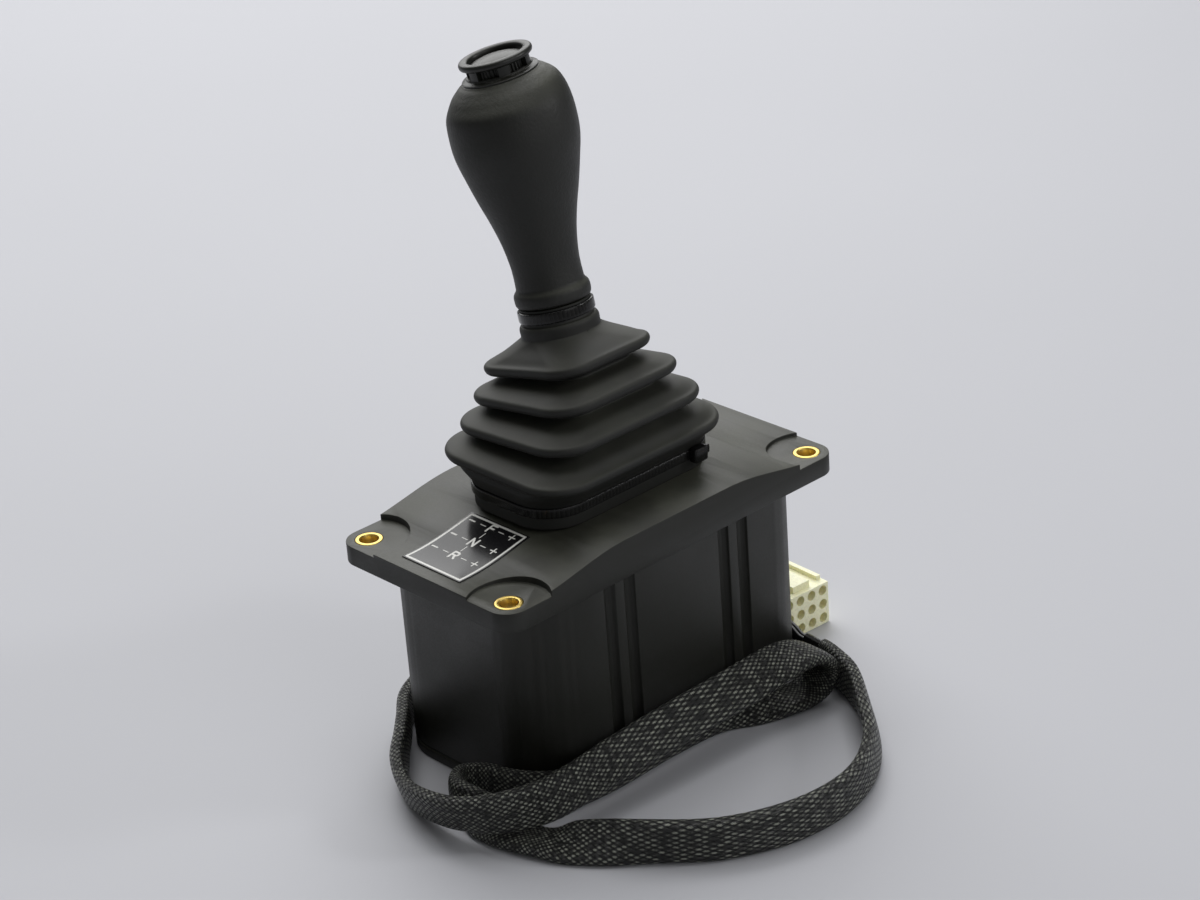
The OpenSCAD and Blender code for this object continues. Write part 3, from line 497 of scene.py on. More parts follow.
def plug_material():
    """Natural nylon: light passes a little way in, and thin walls look warmer."""
    c = colours()
    m, _, shader, _ = grained("Natural Nylon", c.plug, 0.33, grain=0.7, tone=0.10, dust=0.0, spread=0.12,
                              bump=0.06, Subsurface_Weight=0.12, Subsurface_Scale=0.002)
    shader.inputs["Subsurface Radius"].default_value = (1.0, 0.8, 0.35)
    return m


MATERIALS = {}


def finishes():
    """Builds the groups and every finish once."""
    c = colours()
    GROUPS.update(grain=grain_group(), braid=braid_group(), teeth=teeth_group())
    MATERIALS.update(
        housing=grained("Moulded Nylon", c.housing, 0.50, grain=0.55, tone=0.35, dust=0.16, spread=0.22,
                        bump=0.22, depth=0.06)[0],
        boot=grained("Boot Rubber", c.boot, 0.62, grain=0.45, tone=0.30, dust=0.10, spread=0.10, bump=0.10,
                     depth=0.04)[0],
        grip=grained("Grip Elastomer", c.grip, 0.54, grain=1.0, tone=0.20, dust=0.22, spread=0.18, bump=0.80,
                     depth=0.14)[0],
        gloss=grained("Gloss Nylon", c.gloss, 0.22, grain=0.6, tone=0.2, dust=0.02, spread=0.08,
                      bump=0.05)[0],
        satin=grained("Satin Nylon", c.grip, 0.38, grain=0.5, tone=0.2, dust=0.06, spread=0.10, bump=0.10)[0],
        brass=brushed("Turned Brass", c.brass, 0.36),
        steel=brushed("Zinc Steel", c.steel, 0.32),
        cast=brushed("Die Cast", (0.48, 0.48, 0.50), 0.5, grain=0.6),
        nickel=brushed("Nickel", (0.7, 0.7, 0.71), 0.15, spread=0.05),
        board=grained("Solder Mask", c.board, 0.28, grain=1.5, tone=0.3, dust=0.0, spread=0.05)[0],
        chip=grained("Moulded Epoxy", (0.025, 0.025, 0.027), 0.55, grain=0.3, dust=0.0)[0],
        wire=grained("Wire Insulation", (0.02, 0.02, 0.022), 0.35, grain=0.9, dust=0.0, bump=0.05)[0],
        braid=braid_material(), plug=plug_material(), film=label_material(),
        base_tie=tie_material("Base Tie", 150), neck_tie=tie_material("Neck Tie", 56),
    )


def wear(node, key):
    """Gives a frame node its finish."""
    data = NODES[node].data
    data.materials.clear()
    data.materials.append(MATERIALS[key])


# ---- Pieces ----

def edged(node, name, key, width):
    """A copy of a frame node with its edges eased: coplanar triangles are merged, then every edge sharper
    than 30 degrees is rounded to the width."""
    data = NODES[node].data.copy()
    data.name = name
    b = bmesh.new()
    b.from_mesh(data)
    bmesh.ops.remove_doubles(b, verts=b.verts, dist=2e-6)
    bmesh.ops.dissolve_limit(b, angle_limit=math.radians(0.6), verts=b.verts, edges=b.edges)
    b.to_mesh(data)
    b.free()
    data.materials.clear()
    data.materials.append(MATERIALS[key])
    data.polygons.foreach_set("use_smooth", np.ones(len(data.polygons), bool))
    piece = bpy.data.objects.new(name, data)
    bpy.context.scene.collection.objects.link(piece)
    bevel = piece.modifiers.new("Eased Edges", "BEVEL")
    bevel.width, bevel.segments, bevel.limit_method = width, 2, "ANGLE"
    bevel.angle_limit = math.radians(30)
    bevel.harden_normals = True
    bevel.use_clamp_overlap = True
    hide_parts(node)
    return piece


# Along the sleeve: x, y and its lower edge's height over the floor in millimetres, and its width's direction.
SLEEVE_ROUTE = (
    (-8, 37.1, 8, 0, 0, 1), (-8, 39, 8, 0, 0, 1), (-9.8, 42.6, 7.6, 0, 0, 1), (-16, 45.2, 6.2, 0, 0, 1),
    (-28, 43, 3.2, 0, 0, 1), (-40, 39.8, 0.8, 0, 0, 1), (-49.5, 35.2, 0.2, 0, 0, 1),
    (-56.6, 27.8, 0.1, 0, 0, 1), (-64.2, 20, 0.1, 0, 0, 1), (-73.2, 10, 0.2, -0.2, 0, 1),
    (-79.6, -2, 0.8, -0.4, -0.1, 1), (-82.4, -14, 2.8, -0.4, -0.1, 1), (-81.6, -26, 4.6, -0.3, -0.2, 1),
    (-75.5, -35.5, 5.3, -0.1, 0, 1), (-64, -41.8, 6.2, 0, 0.2, 1), (-52, -44, 7.8, 0, 0.3, 1),
    (-37, -45.2, 10, 0, 0.4, 1), (-14, -45.6, 11.2, 0, 0.6, 1), (12, -45.8, 12.1, 0, 0.8, 0.9),
    (28, -46.5, 14.7, 0, 1, 0.5), (38.5, -47.1, 14.7, 0, 1, 0.1), (44.4, -47.4, 9.6, 0, 1, 0),
    (42.8, -47.1, 3.8, 0, 1, 0), (36, -45.4, 0.3, 0, 1, 0), (24, -42, 0.1, 0, 0.7, 0.5),
    (11, -38.4, 0.1, 0, 0.2, 1), (-8, -37.4, 0.1, 0, 0, 1), (-36, -37.4, 0.1, 0, 0, 1),
    (-50.6, -33.8, 0.1, 0, 0, 1), (-58.2, -25, 0.1, 0, 0, 1), (-61.5, -15.5, 0.1, 0, 0, 1),
    (-66.5, -10.4, 0.1, 0, 0, 1), (-71.6, -13.2, 0.1, 0, 0, 1), (-72.8, -20.5, 0.1, 0.2, 0, 1),
    (-71.2, -29, 0.1, 1, 0.2, 0.5), (-69.8, -37.5, 0.1, 1, 0.2, 0), (-67, -46, 0.1, 1, 0.4, 0),
    (-62.5, -56.5, 0.1, 0.7, 0.6, 0.8), (-54, -70, 0.1, 0.1, 0.1, 1), (-38, -86.3, 0.1, 0, 0, 1),
    (-17, -95.6, 0.1, 0, 0, 1), (4, -95.8, 0.1, 0, 0, 1), (23, -86.5, 0.1, -0.1, 0.1, 1),
    (38, -70.5, 0.1, -0.2, 0.1, 1), (47, -57.5, 0.1, 0, 0, 1), (51.5, -46, 0.1, 0, 0, 1),
    (52.5, -40.8, 0.1, 0, 0, 1))
FLOOR = -70 * MM


def sleeve_line(steps):
    """The sleeve's centre line and the direction of its width. A point's height is the floor, its lower
    edge's height and half the section's height, the root of the squared width and thickness parts."""
    s = sizes()
    r = np.array(SLEEVE_ROUTE, float)
    w = unit(r[:, 3:])
    half = np.sqrt((s.sleeve_width / 2 * w[:, 2]) ** 2 + (s.sleeve_thick / 2) ** 2 * (1 - w[:, 2] ** 2))
    p = r[:, :3] * MM
    p[:, 2] += FLOOR + half
    return smooth_line(p, steps), smooth_line(r[:, 3:], steps)


class JOYSTICK_OT_lead(bpy.types.Operator):
    """The flat braided sleeve, its shrunk end and the wires that run on into the plug"""
    bl_idname = "joystick.lead"
    bl_label = "Braided Lead"

    def execute(self, context):
        s = sizes()
        path, wide = sleeve_line(8)
        around = 56
        length = float(np.linalg.norm(np.diff(path, axis=0), axis=1).sum())
        rings = flat_rings(path, wide, s.sleeve_width / 2, s.sleeve_thick / 2, around, power=0.6)
        skin = Skin().grid(rings, caps=True, uv_scale=(20.0, round(length / s.strand)))
        sleeve = skin.mesh("braided_sleeve", MATERIALS["braid"])
        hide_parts("cable_sleeve")
        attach(sleeve, "box")
        wires = self.wires(path)
        wear("sleeve_end", "gloss")
        wear("cable_grommet", "boot")
        return {"FINISHED"}

    @staticmethod
    def wires(path):
        """Twelve wires, six high and two deep: they run on from the sleeve and turn back into the plug, and
        each sways to its side by a small sine. The numbers are in millimetres."""
        shrunk, straight, height, pitch_up, pitch_out = 7.8, 3, 7.1, 1.42, 1.3
        z = FLOOR + height * MM
        end, way = path[-1], unit(path[-1] - path[-2])
        start = end + way * shrunk * MM
        route = np.array([start, start + way * straight * MM] + [(x * MM, y * MM, z) for x, y in (
            (55.8, -25.5), (58, -18), (58.2, -7), (58.8, 4.5), (61.5, 11.6), (66.8, 14), (70.8, 11),
            (71.2, 4.5), (70.8, 0.9))])
        line = smooth_line(route, 8)
        upright = np.tile((0, 0, 1.0), (len(line), 1))
        side = np.cross(headings(line), (0, 0, 1.0))
        skin = Skin()
        r = 0.62 * MM
        for k in range(12):
            up, out = (k % 6 - 2.5) * pitch_up * MM, (k // 6 - 0.5) * pitch_out * MM
            sway = np.sin(np.linspace(0, 5, len(line)) + k)[:, None] * 0.04 * MM
            centre = line + upright * up + side * (out + sway)
            skin.grid(flat_rings(centre, upright, r, r, 10, power=1.0), caps=True)
        wires = skin.mesh("lead_wires", MATERIALS["wire"])
        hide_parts("wire_bundle")
        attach(wires, "box")
        return wires


class JOYSTICK_OT_plug(bpy.types.Operator):
    """The twelve-way plug of natural nylon with its brass contacts"""
    bl_idname = "joystick.plug"
    bl_label = "Plug"

    def execute(self, context):
        wear("connector_housing", "plug")
        wear("connector_contacts", "brass")
        return {"FINISHED"}


class JOYSTICK_OT_housing(bpy.types.Operator):
    """The box with its crowned flange, and its bottom cover"""
    bl_idname = "joystick.housing"
    bl_label = "Housing"

    def execute(self, context):
        shell = edged("housing", "moulded_housing", "housing", 0.8 * MM)
        cover = edged("bottom_cover", "moulded_cover", "housing", 0.5 * MM)
        for piece in (shell, cover):
            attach(piece, "box")
        wear("cover_gasket", "boot")
        wear("cover_screws", "steel")
        return {"FINISHED"}


class JOYSTICK_OT_bushings(bpy.types.Operator):
    """Four turned brass bushings with a chamfered bore"""
    bl_idname = "joystick.bushings"
    bl_label = "Bolt Bushings"

    def execute(self, context):
        lo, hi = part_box("flange_bushings")
        r, bore, top, base = 4.1, 2.75, hi[2] / MM, lo[2] / MM
        x, y = (hi[0] - lo[0]) / 2 / MM - r, (hi[1] - lo[1]) / 2 / MM - r
        profile = [(bore, base + 0.3), (bore + 0.3, base), (r - 0.2, base), (r, base + 0.2), (r, top - 0.3),
                   (r - 0.1, top - 0.1), (r - 0.25, top), (bore + 0.35, top), (bore + 0.15, top - 0.08),
                   (bore, top - 0.3), (bore, (top + base) / 2)]
        skin = Skin()
        for sx in (-1, 1):
            for sy in (-1, 1):
                skin.grid((turned(profile, 64) + (sx * x, sy * y, 0)) * MM, loop=True)
        piece = skin.mesh("brass_bushings", MATERIALS["brass"], angle=35)
        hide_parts("flange_bushings")
        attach(piece, "box")
        return {"FINISHED"}


def strokes():
    """The label's print as line segments (x0, y0, x1, y1, half width) in millimetres: x runs from the label's
    outer end and y from its left side. A border, then rows of a dash, a letter and a plus sign, joined by
    shorter dashes."""
    length, width, margin, half = 27.0, 24.8, 1.0, 0.36
    far, wide = length - margin, width - margin
    out = [(margin, margin, far, margin, half), (far, margin, far, wide, half),
           (far, wide, margin, wide, half), (margin, wide, margin, margin, half)]
    letters = {
        "R": [(-1.5, -1.05, 1.5, -1.05), (1.5, -1.05, 1.5, 0.55), (1.5, 0.55, 1.1, 1.0),
              (1.1, 1.0, 0.35, 1.0), (0.35, 1.0, 0.0, 0.6), (0.0, 0.6, 0.0, -1.05), (0.0, 0.1, -1.5, 1.05)],
        "N": [(-1.5, -1.1, 1.5, -1.1), (1.5, -1.1, -1.5, 1.1), (-1.5, 1.1, 1.5, 1.1)],
        "F": [(-1.5, -0.95, 1.5, -0.95), (1.5, -0.95, 1.5, 1.05), (0.1, -0.95, 0.1, 0.75)],
    }
    line = 0.48 * width
    for letter, s in (("R", 0.35), ("N", 0.62), ("F", 0.885)):
        x, y = s * length, line
        out += [(x + a, y + b, x + c, y + d, 0.33) for a, b, c, d in letters[letter]]
        out.append((x, 0.10 * width, x, 0.185 * width, 0.25))
        out += [(x, t * width, x, (t + 0.085) * width, 0.13) for t in (0.29, 0.60)]
        p = 0.825 * width
        out += [(x - 1.15, p, x + 1.15, p, 0.2), (x, p - 1.15, x, p + 1.15, 0.2)]
    return out + [(s * length - 1.2, line, s * length + 1.2, line, 0.13) for s in (0.485, 0.752)]


class JOYSTICK_OT_label(bpy.types.Operator):
    """The gloss label with its shift pattern, laid on the flange's slope"""
    bl_idname = "joystick.label"
    bl_label = "Shift Label"

    def execute(self, context):
        lo, hi = (np.array(v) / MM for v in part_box("label"))
        nx, ny = 220, 200
        thick, lift, drop, rounding, soft = 0.3, 0.02, 0.22, 0.25, 0.06
        s, t = np.meshgrid(np.linspace(0, hi[0] - lo[0], nx), np.linspace(0, hi[1] - lo[1], ny),
                           indexing="ij")
        x, y = lo[0] + s, hi[1] - t
        edge = np.minimum(np.minimum(s, s.max() - s), np.minimum(t, t.max() - t))
        z = self.crown(x) + thick - drop * np.clip(1 - edge / rounding, 0, 1) ** 2
        top = np.stack([x, y, z], -1)
        under = np.stack([x, y, self.crown(x) + lift], -1)
        skin = Skin().grid(top * MM, around=False).grid(under * MM, around=False, flip=True)
        rim = [np.concatenate([a[:, 0], a[-1, 1:], a[-2::-1, -1], a[0, -2:0:-1]]) for a in (top, under)]
        skin.grid(np.array(rim) * MM, flip=True)
        piece = skin.mesh("shift_label", MATERIALS["film"], weld=False, angle=50)
        ink = np.zeros_like(s)
        for x0, y0, x1, y1, half in strokes():
            d = np.array([x1 - x0, y1 - y0])
            f = np.clip(((s - x0) * d[0] + (t - y0) * d[1]) / max(d @ d, 1e-9), 0, 1)
            gap = np.hypot(s - x0 - f * d[0], t - y0 - f * d[1])
            ink = np.maximum(ink, np.clip((half + soft - gap) / (2 * soft), 0, 1))
        values = np.zeros(len(piece.data.vertices), np.float32)
        values[:ink.size] = ink.reshape(-1)
        piece.data.attributes.new("print", "FLOAT", "POINT").data.foreach_set("value", values)
        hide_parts("label")
        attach(piece, "box")
        return {"FINISHED"}

    @staticmethod
    def crown(x):
        """Height of the flange: flat in the middle, then a cosine ease down to its ends."""
        flat, reach, high, low = 20.0, 60.0, 6.0, 1.0
        f = np.clip((np.abs(x) - flat) / (reach - flat), 0, 1)
        return low + (high - low) * (1 + np.cos(np.pi * f)) / 2


def boot_rows():
    """Rows of the boot from its foot to its collar: half length, half width, corner radius, shift along Y,
    height, tilt and shift along X. The lips get smaller on the way up, shift onto the lever's line and tilt
    with it. Under each lip the wall cuts back into a valley, and from there it slopes out to the lip below.
    Returns the rows and the middle valley's row number."""
    s = sizes()
    fx, fy, fr = s.foot_x / 2 / MM, s.foot_y / 2 / MM, s.foot_r / MM
    bend, crank = s.bend / MM, s.crank
    fold, neck = s.fold / MM, s.neck / MM
    lips = 4

    def lip(t):
        sag = 1 - t**3
        return np.array([fx + 1.8 + (17.4 - fx) * t, fy + 7.4 + (13.7 - fy) * t, 13 - 3.6 * t,
                         19.1 + 25.0 * t + 1.3 * sag])

    def row(hx, hy, r, z, t):
        shift = max(z - bend, 0) * math.tan(crank) * t**1.6
        lean = min(max(z - 13, 0) / 6, 1) * (1 - t**2)
        return (hx, hy, r, shift + 1.1 * lean, z, crank * t, -0.8 * lean)

    rows = [row(fx, fy, fr, 6.0, 0), row(fx, fy, fr, 8.5, 0), row(fx, fy, fr, 11.5, 0),
            row(fx + 0.1, fy + 0.9, fr, 13.6, 0), row(fx + 0.4, fy + 3.4, fr, 16.2, 0)]
    middle = 0
    for i in range(lips):
        t = i / (lips - 1)
        x, y, r, z = lip(t)
        rows += [row(x - 2.0, y - 2.0, r - 1.5, z - 2.1, t), row(x - 0.6, y - 0.6, r - 0.4, z - 1.6, t),
                 row(x, y, r, z - 0.3, t), row(x - 0.4, y - 0.4, r - 0.3, z + 0.85, t),
                 row(x - 1.8, y - 1.8, r - 1.2, z + 1.55, t)]
        if i < lips - 1:
            u = (i + 1) / (lips - 1)
            nx, ny, nr, nz = lip(u)
            vx, vy, vz = nx - fold + 1.2, ny - fold + 1.2, z + 0.60 * (nz - z)
            slope = z + 1.5 + (vz - z - 1.5) * 0.42
            rows += [row((x + vx) / 2 - 0.2, (y + vy) / 2 - 0.2, 9.0, slope, (2 * t + u) / 3),
                     row(vx, vy, 7.5, vz - 0.5, (t + u) / 2),
                     row(vx - 0.5, vy - 0.5, 7.0, vz + 0.3, (t + u) / 2)]
            if i == 1:
                middle = len(rows) - 1
            rows += [row(vx + 0.6, vy + 0.6, 7.5, vz + 1.0, (t + 2 * u) / 3)]

    rows += [(15.6, 16.6, 9.0, 6.6, z + 3.1, crank, 0), (13.3, 13.8, 10.4, 7.3, z + 4.9, crank, 0)]
    for r, below in ((12.0, 9.1), (11.7, 8.3), (11.7, 6.4), (11.2, 5.4), (10.5, 4.9), (10.4, 2.6),
                     (10.45, 0.7), (10.4, 0.35)):
        d = neck - below
        rows.append((r, r, r - 0.001, d * math.sin(crank), bend + d * math.cos(crank), crank, 0))
    return np.array(rows), middle


class JOYSTICK_OT_boot(bpy.types.Operator):
    """The pleated rubber boot in two bands that meet in its middle valley"""
    bl_idname = "joystick.boot"
    bl_label = "Boot"

    def execute(self, context):
        rows, middle = boot_rows()
        steps = 5
        fine = smooth_line(rows, steps)
        cut = middle * steps
        lower = self.band(fine[:cut + 1], "boot_lower")
        upper = self.band(fine[cut:], "boot_upper")
        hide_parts("boot")
        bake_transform(lower)
        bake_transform(upper)
        return {"FINISHED"}

    @staticmethod
    def band(rows, name):
        """Outer rings up, inner rings down: the inner ones are smaller by the rubber's thickness."""
        n = 224
        inner = rows[::-1].copy()
        thick = sizes().rubber / MM
        inner[:, 0] -= thick
        inner[:, 1] -= thick
        inner[:, 2] = np.maximum(inner[:, 2] - thick, 2.0)
        rings = [rounded_ring(r, n) for r in np.vstack([rows, inner[::2]])]
        return Skin().grid(np.array(rings) * MM, loop=True).mesh(name, MATERIALS["boot"])


def block_points(x, y, z):
    """A block of half sizes x, y and z with rounded edges: a superellipse in plan, scaled by another up its
    side, down to a fifth at its two ends."""
    n, power, least = 24, 0.35, 0.2
    t = 2 * np.pi * np.arange(n) / n
    c, s = blunt(np.cos(t), power), blunt(np.sin(t), power)
    rise = np.linspace(-np.pi / 2, np.pi / 2, 9)
    k, h = np.clip(blunt(np.cos(rise), power), least, 1), blunt(np.sin(rise), power)
    return np.stack([x * np.outer(k, c), y * np.outer(k, s), np.repeat((z * h)[:, None], n, 1)], -1)


def band_section(width, thick):
    """Section of a cable tie: places out and up along its outside, with quarter circles for corners."""
    w, e = width / 2, 0.5
    a = np.linspace(0, np.pi / 2, 6)
    top = np.stack([thick - e + e * np.cos(a), w - e + e * np.sin(a)], -1)
    return np.vstack([(0, -w), top[::-1] * (1, -1), (thick, -w / 3), (thick, w / 3), top, (0, w)])


class JOYSTICK_OT_ties(bpy.types.Operator):
    """Two cable ties with ratchet teeth, a head and a cut tail: one round the boot's foot, one at its neck"""
    bl_idname = "joystick.ties"
    bl_label = "Boot Ties"

    def execute(self, context):
        s = sizes()
        wide, neck_wide, thick = 3.2, 3.4, 0.8
        z = s.tie_height / MM + wide / 2
        row = (s.foot_x / 2 / MM, s.foot_y / 2 / MM, s.foot_r / MM, 0, z, 0, 0)
        ring = rounded_ring(row, 256)
        out = unit(np.cross(headings(np.vstack([ring, ring[:1]]))[:-1], (0, 0, 1.0)))
        base = self.tie(ring, out, wide, thick)
        corner = row[0] - 13
        for half, x, y in (((2.7, 1.6, 2.4), 1.6, 1.2), ((2.0, 0.45, 1.4), 4.4, 0.7)):
            base.grid((block_points(*half) + (corner + x, -row[1] - thick - y, z)) * MM, caps=True)
        piece = base.mesh("base_tie", MATERIALS["base_tie"], angle=40)
        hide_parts("boot_base_tie")
        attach(piece, "box")
        t = 2 * np.pi * np.arange(160) / 160
        circle = np.stack([np.cos(t), np.sin(t), 0 * t], -1)
        neck = self.tie(circle * 10.45, circle, neck_wide, thick, s.neck / MM - 2.6, on_grip())
        for half, x in (((2.6, 1.5, 2.2), 0), ((2.6, 0.45, 1.5), 4.0)):
            spot = block_points(*half) + (x, 12.6 - x * 0.16, s.neck / MM - 2.7)
            neck.grid(moved(spot * MM, on_grip()), caps=True)
        piece = neck.mesh("neck_tie", MATERIALS["neck_tie"], angle=40)
        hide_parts("boot_neck_tie")
        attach(piece, "lever")
        return {"FINISHED"}

    @staticmethod
    def tie(ring, out, wide, thick, lift=0, place=Matrix.Identity(4)):
        """The band's section carried round the ring: along out by its thickness and along Z by its width."""
        section = band_section(wide, thick)[:, :, None, None]
        up = np.array([0, 0, 1.0])
        p = ring[None] + section[:, 0] * out[None] + section[:, 1] * up + lift * up
        return Skin().grid(moved(p * MM, place), loop=True)


class JOYSTICK_OT_grip(bpy.types.Operator):
    """The pear-shaped hand grip, turned about the cranked lever, with a lip at its foot and a well for the
    button. Each ring is a mix of its places about the lever and the head, by a smooth step of its height"""
    bl_idname = "joystick.grip"
    bl_label = "Grip"

    def execute(self, context):
        s = sizes()
        big = s.grip_width / 2 / MM
        body = smooth_line([(10.0, 5.4), (9.9, 9), (10.1, 13), (11.0, 19), (12.6, 25.5), (14.6, 32),
                            (16.4, 38.5), (big - 0.4, 45.5), (big, 51.5), (big - 0.5, 57.5), (16.0, 62.4),
                            (13.4, 65.1), (11.6, 66.3)], 8)
        foot = [(8.4, -8.8), (8.4, 0.05), (10.2, 0.05), (10.8, 0.25), (11.1, 0.8), (11.2, 1.6), (11.2, 2.9),
                (11.05, 3.6), (10.7, 4.2), (10.25, 4.7)]
        top = s.grip_length / MM - 2
        head = [(11.3, top + 1.02), (8.2, top + 1.02), (8.05, top + 0.9), (8.05, top - 5)]
        profile = np.vstack([foot, body, head])
        f = np.clip((profile[:, 1] - 56) / (top - 57), 0, 1)
        f[-len(head):] = 1
        f = (f * f * (3 - 2 * f))[:, None, None]
        straight = moved(turned(profile + (0, s.neck / MM), 160) * MM, on_grip())
        tipped = moved(turned(profile - (0, top), 160) * MM, on_head())
        points = straight * (1 - f) + tipped * f
        piece = Skin().grid(points, caps=True).mesh("hand_grip", MATERIALS["grip"], angle=60)
        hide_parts("grip")
        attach(piece, "lever")
        return {"FINISHED"}


class JOYSTICK_OT_button(bpy.types.Operator):
    """The guard ring with its windows and posts, and the crowned push button with a ribbed skirt"""
    bl_idname = "joystick.button"
    bl_label = "Push Button"

    def execute(self, context):
        z = 1.0
        guard = Skin()
        foot = [(8.15, z + 0.02), (10.9, z + 0.02), (11.2, z + 0.2), (11.2, z + 0.5), (10.9, z + 0.75),
                (9.9, z + 0.9), (9.6, z + 1.1), (9.5, z + 1.4), (8.15, z + 1.4)]
        rim = [(8.1, z + 4.1), (9.5, z + 4.0), (10.1, z + 4.15), (10.6, z + 4.5), (10.8, z + 5.1),
               (10.7, z + 5.7), (10.3, z + 6.15), (9.6, z + 6.3), (8.9, z + 6.25), (8.4, z + 6.0),
               (8.1, z + 5.5)]
        for profile in (foot, smooth_line(rim + rim[:1], 3)[:-1]):
            guard.grid(moved(turned(profile, 96) * MM, on_head()), loop=True)
        for a in np.radians(np.arange(0, 360, 60) + 239):
            t = np.linspace(-1, 1, 9) * math.radians(10) + a
            outer, inner = (np.stack([r * np.cos(t), r * np.sin(t)], -1) for r in (9.45, 8.2))
            outline = np.vstack([outer, inner[::-1]])
            p = np.stack([np.column_stack([outline, np.full(len(outline), h)])
                          for h in (z + 1.2, z + 4.3)])
            guard.grid(moved(p * MM, on_head()), caps=True)
        piece = guard.mesh("button_guard_ring", MATERIALS["satin"], angle=38)
        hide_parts("button_guard")
        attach(piece, "lever")
        self.button(z)
        return {"FINISHED"}

    @staticmethod
    def button(z):
        """A turned cap whose crown is part of a sphere, with forty ribs round its skirt."""
        n, skirt_r, sphere, rib = 160, 7.6, 24, 0.03
        r = np.linspace(skirt_r, 0.05, 16)
        crown = np.column_stack([r, z + 5.8 - sphere + np.sqrt(sphere**2 - r**2)])
        profile = np.vstack([[(0.05, z - 3.2), (2, z - 3.2), (2, z + 2.2), (5.3, z + 2.2), (5.3, z + 0.8),
                              (skirt_r, z + 0.8), (skirt_r, z + 3.9), (7.8, z + 4.1), (7.8, z + 4.4)], crown])
        p = turned(profile, n)
        skirt = (np.abs(profile[:, 0] - skirt_r) < 0.01) & (profile[:, 1] < z + 4)
        p[skirt, :, :2] *= 1 + rib * np.where(np.arange(n) % 4 < 2, 1, -1)[None, :, None]
        skin = Skin().grid(moved(p * MM, on_head()), caps=True)
        piece = skin.mesh("ribbed_button", MATERIALS["satin"], angle=40)
        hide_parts("push_button")
        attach(piece, "button")


class JOYSTICK_OT_mechanism(bpy.types.Operator):
    """Finishes for the gimbal, the detent, the shaft, the sensor board and the rest inside the box"""
    bl_idname = "joystick.mechanism"
    bl_label = "Mechanism"

    def execute(self, context):
        for key, names in {
            "steel": "gimbal_bracket bracket_screws yoke_pins cross_pin pin_clips detent_plate detent_screws "
                     "detent_ball detent_spring centring_springs lever_shaft button_spring board_screws",
            "cast": "yoke", "brass": "pivot_bushes", "nickel": "magnet", "housing": "lever_hub magnet_holder",
            "chip": "board_chips hall_sensors", "board": "circuit_board", "plug": "board_header",
            "wire": "inner_harness", "gloss": "button_switch",
        }.items():
            for name in names.split():
                wear(name, key)
        return {"FINISHED"}


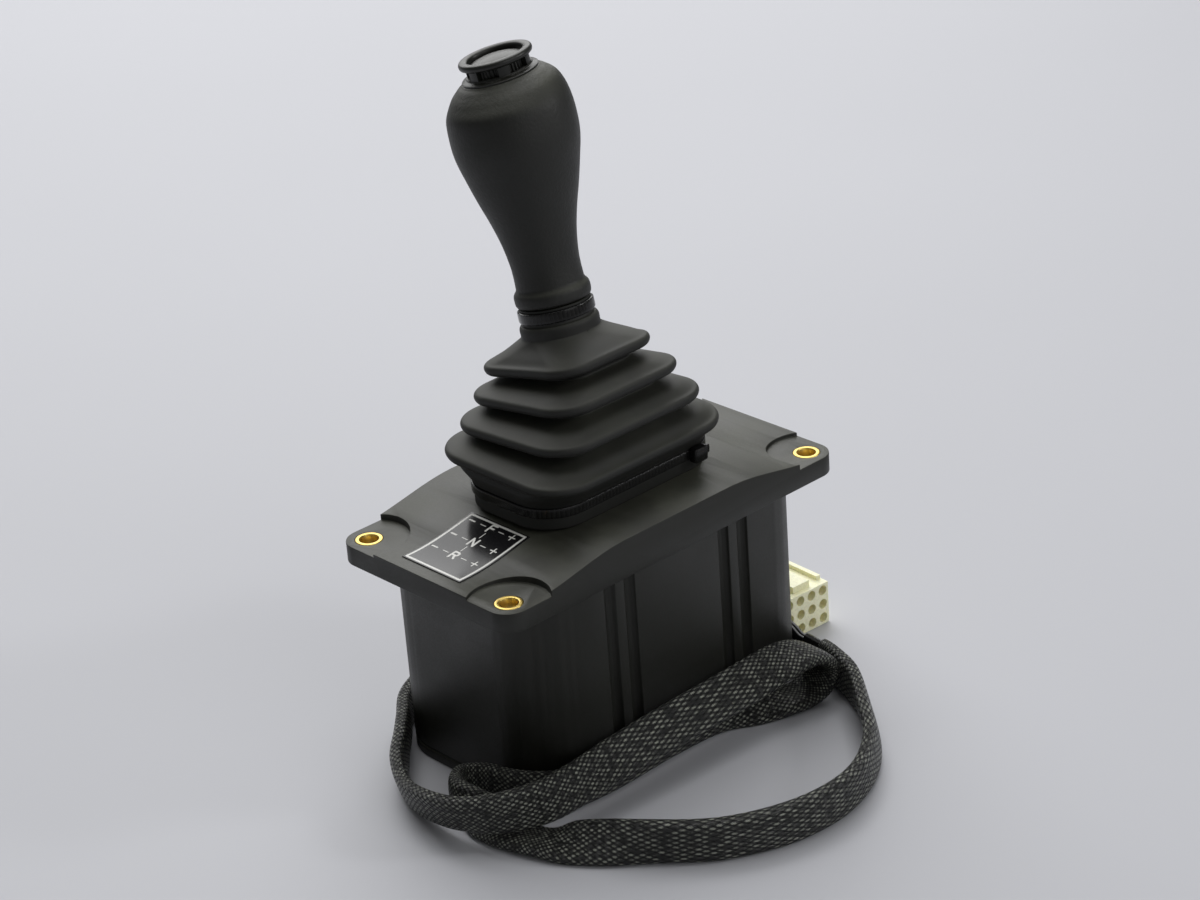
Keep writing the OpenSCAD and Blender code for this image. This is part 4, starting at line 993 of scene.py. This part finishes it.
class JOYSTICK_OT_stage(bpy.types.Operator):
    """Camera, floor, soft lamps and the pale surroundings"""
    bl_idname = "joystick.stage"
    bl_label = "Stage"

    def execute(self, context):
        scene = context.scene
        scene.view_settings.view_transform = "Standard"
        camera = bpy.data.cameras.new("Camera")
        camera.lens, camera.sensor_width, camera.clip_end = 87.97, 36.0, 50.0
        eye = bpy.data.objects.new("Camera", camera)
        scene.collection.objects.link(eye)
        right, up = (0.72121, -0.68947, -0.067), (0.34295, 0.27135, 0.89931)
        ahead = (0.60186, 0.67157, -0.43216)
        turn = Matrix((right, up, [-v for v in ahead])).transposed().to_4x4()
        eye.matrix_world = Matrix.Translation((-0.51044, -0.5746, 0.38256)) @ turn
        scene.camera = eye
        bpy.ops.mesh.primitive_plane_add(size=12, location=(0, 0, FLOOR - 0.0002))
        floor = context.object
        floor.name = "floor"
        floor.data.materials.append(self.floor_material())
        self.lamp("Key", (0.25, 0.3, 1.5), 1.4, 11)
        self.lamp("Fill", (-0.1, -1.7, 0.9), 1.3, 5.5)
        self.lamp("Back", (0.72, 1.2, 1.1), 1.9, 26)
        self.lamp("Glint", (1.0, -1.1, 0.72), 0.25, 4)
        self.world(scene)
        return {"FINISHED"}

    @staticmethod
    def lamp(name, place, side, power):
        data = bpy.data.lights.new(name, "AREA")
        data.shape, data.size, data.energy = "SQUARE", side, power
        lamp = bpy.data.objects.new(name, data)
        lamp.location = place
        lamp.rotation_euler = (Vector((0, 0, 0.02)) - Vector(place)).to_track_quat("-Z", "Y").to_euler()
        bpy.context.scene.collection.objects.link(lamp)

    @staticmethod
    def floor_material():
        c = colours().floor
        m, w, shader = finish_material("Pale Mat", c, 0.6)
        where = w.node("ShaderNodeTexCoord").outputs["Object"]
        slow = w.node("ShaderNodeTexNoise", {"Vector": where, "Scale": 3.0, "Detail": 2.0})
        w.put(shader.inputs["Base Color"], w.mix(slow.outputs[0], (*[v * 0.97 for v in c], 1),
                                                 (*[min(1, v * 1.03) for v in c], 1)))
        return m

    @staticmethod
    def world(scene):
        world = bpy.data.worlds.new("Surroundings")
        scene.world = world
        world.use_nodes = True
        w = Wire(world.node_tree)
        back = world.node_tree.nodes["Background"]
        path = w.node("ShaderNodeLightPath")
        seen = w.math("MAXIMUM", path.outputs["Is Camera Ray"], path.outputs["Is Transmission Ray"])
        w.put(back.inputs["Color"], w.mix(seen, (0.80, 0.81, 0.80, 1), (0.62, 0.63, 0.53, 1)))
        w.put(back.inputs["Strength"], w.math("MULTIPLY_ADD", seen, 0.82, 0.18))


OPERATORS = (JOYSTICK_OT_stage, JOYSTICK_OT_lead, JOYSTICK_OT_plug, JOYSTICK_OT_housing, JOYSTICK_OT_bushings,
             JOYSTICK_OT_label, JOYSTICK_OT_boot, JOYSTICK_OT_ties, JOYSTICK_OT_grip, JOYSTICK_OT_button,
             JOYSTICK_OT_mechanism)


class JOYSTICK_PT_panel(bpy.types.Panel):
    """Sizes, colours and the steps that build the joystick"""
    bl_idname = "JOYSTICK_PT_panel"
    bl_label = "Joystick"
    bl_space_type = "VIEW_3D"
    bl_region_type = "UI"
    bl_category = "Joystick"

    def draw(self, context):
        for values in (context.scene.joystick_sizes, context.scene.joystick_colours):
            column = self.layout.column(align=True)
            for name in values.bl_rna.properties.keys():
                if name not in ("rna_type", "name"):
                    column.prop(values, name)
        for operator in OPERATORS:
            self.layout.operator(operator.bl_idname)


CLASSES = (JoystickSizes, JoystickColours, *OPERATORS, JOYSTICK_PT_panel)


def register():
    for cls in CLASSES:
        bpy.utils.register_class(cls)
    bpy.types.Scene.joystick_sizes = PointerProperty(type=JoystickSizes)
    bpy.types.Scene.joystick_colours = PointerProperty(type=JoystickColours)


def unregister():
    del bpy.types.Scene.joystick_sizes, bpy.types.Scene.joystick_colours
    for cls in reversed(CLASSES):
        bpy.utils.unregister_class(cls)


def main():
    register()
    finishes()
    for operator in OPERATORS:
        group_name, name = operator.bl_idname.split(".")
        getattr(getattr(bpy.ops, group_name), name)()


if __name__ == "__main__":
    main()
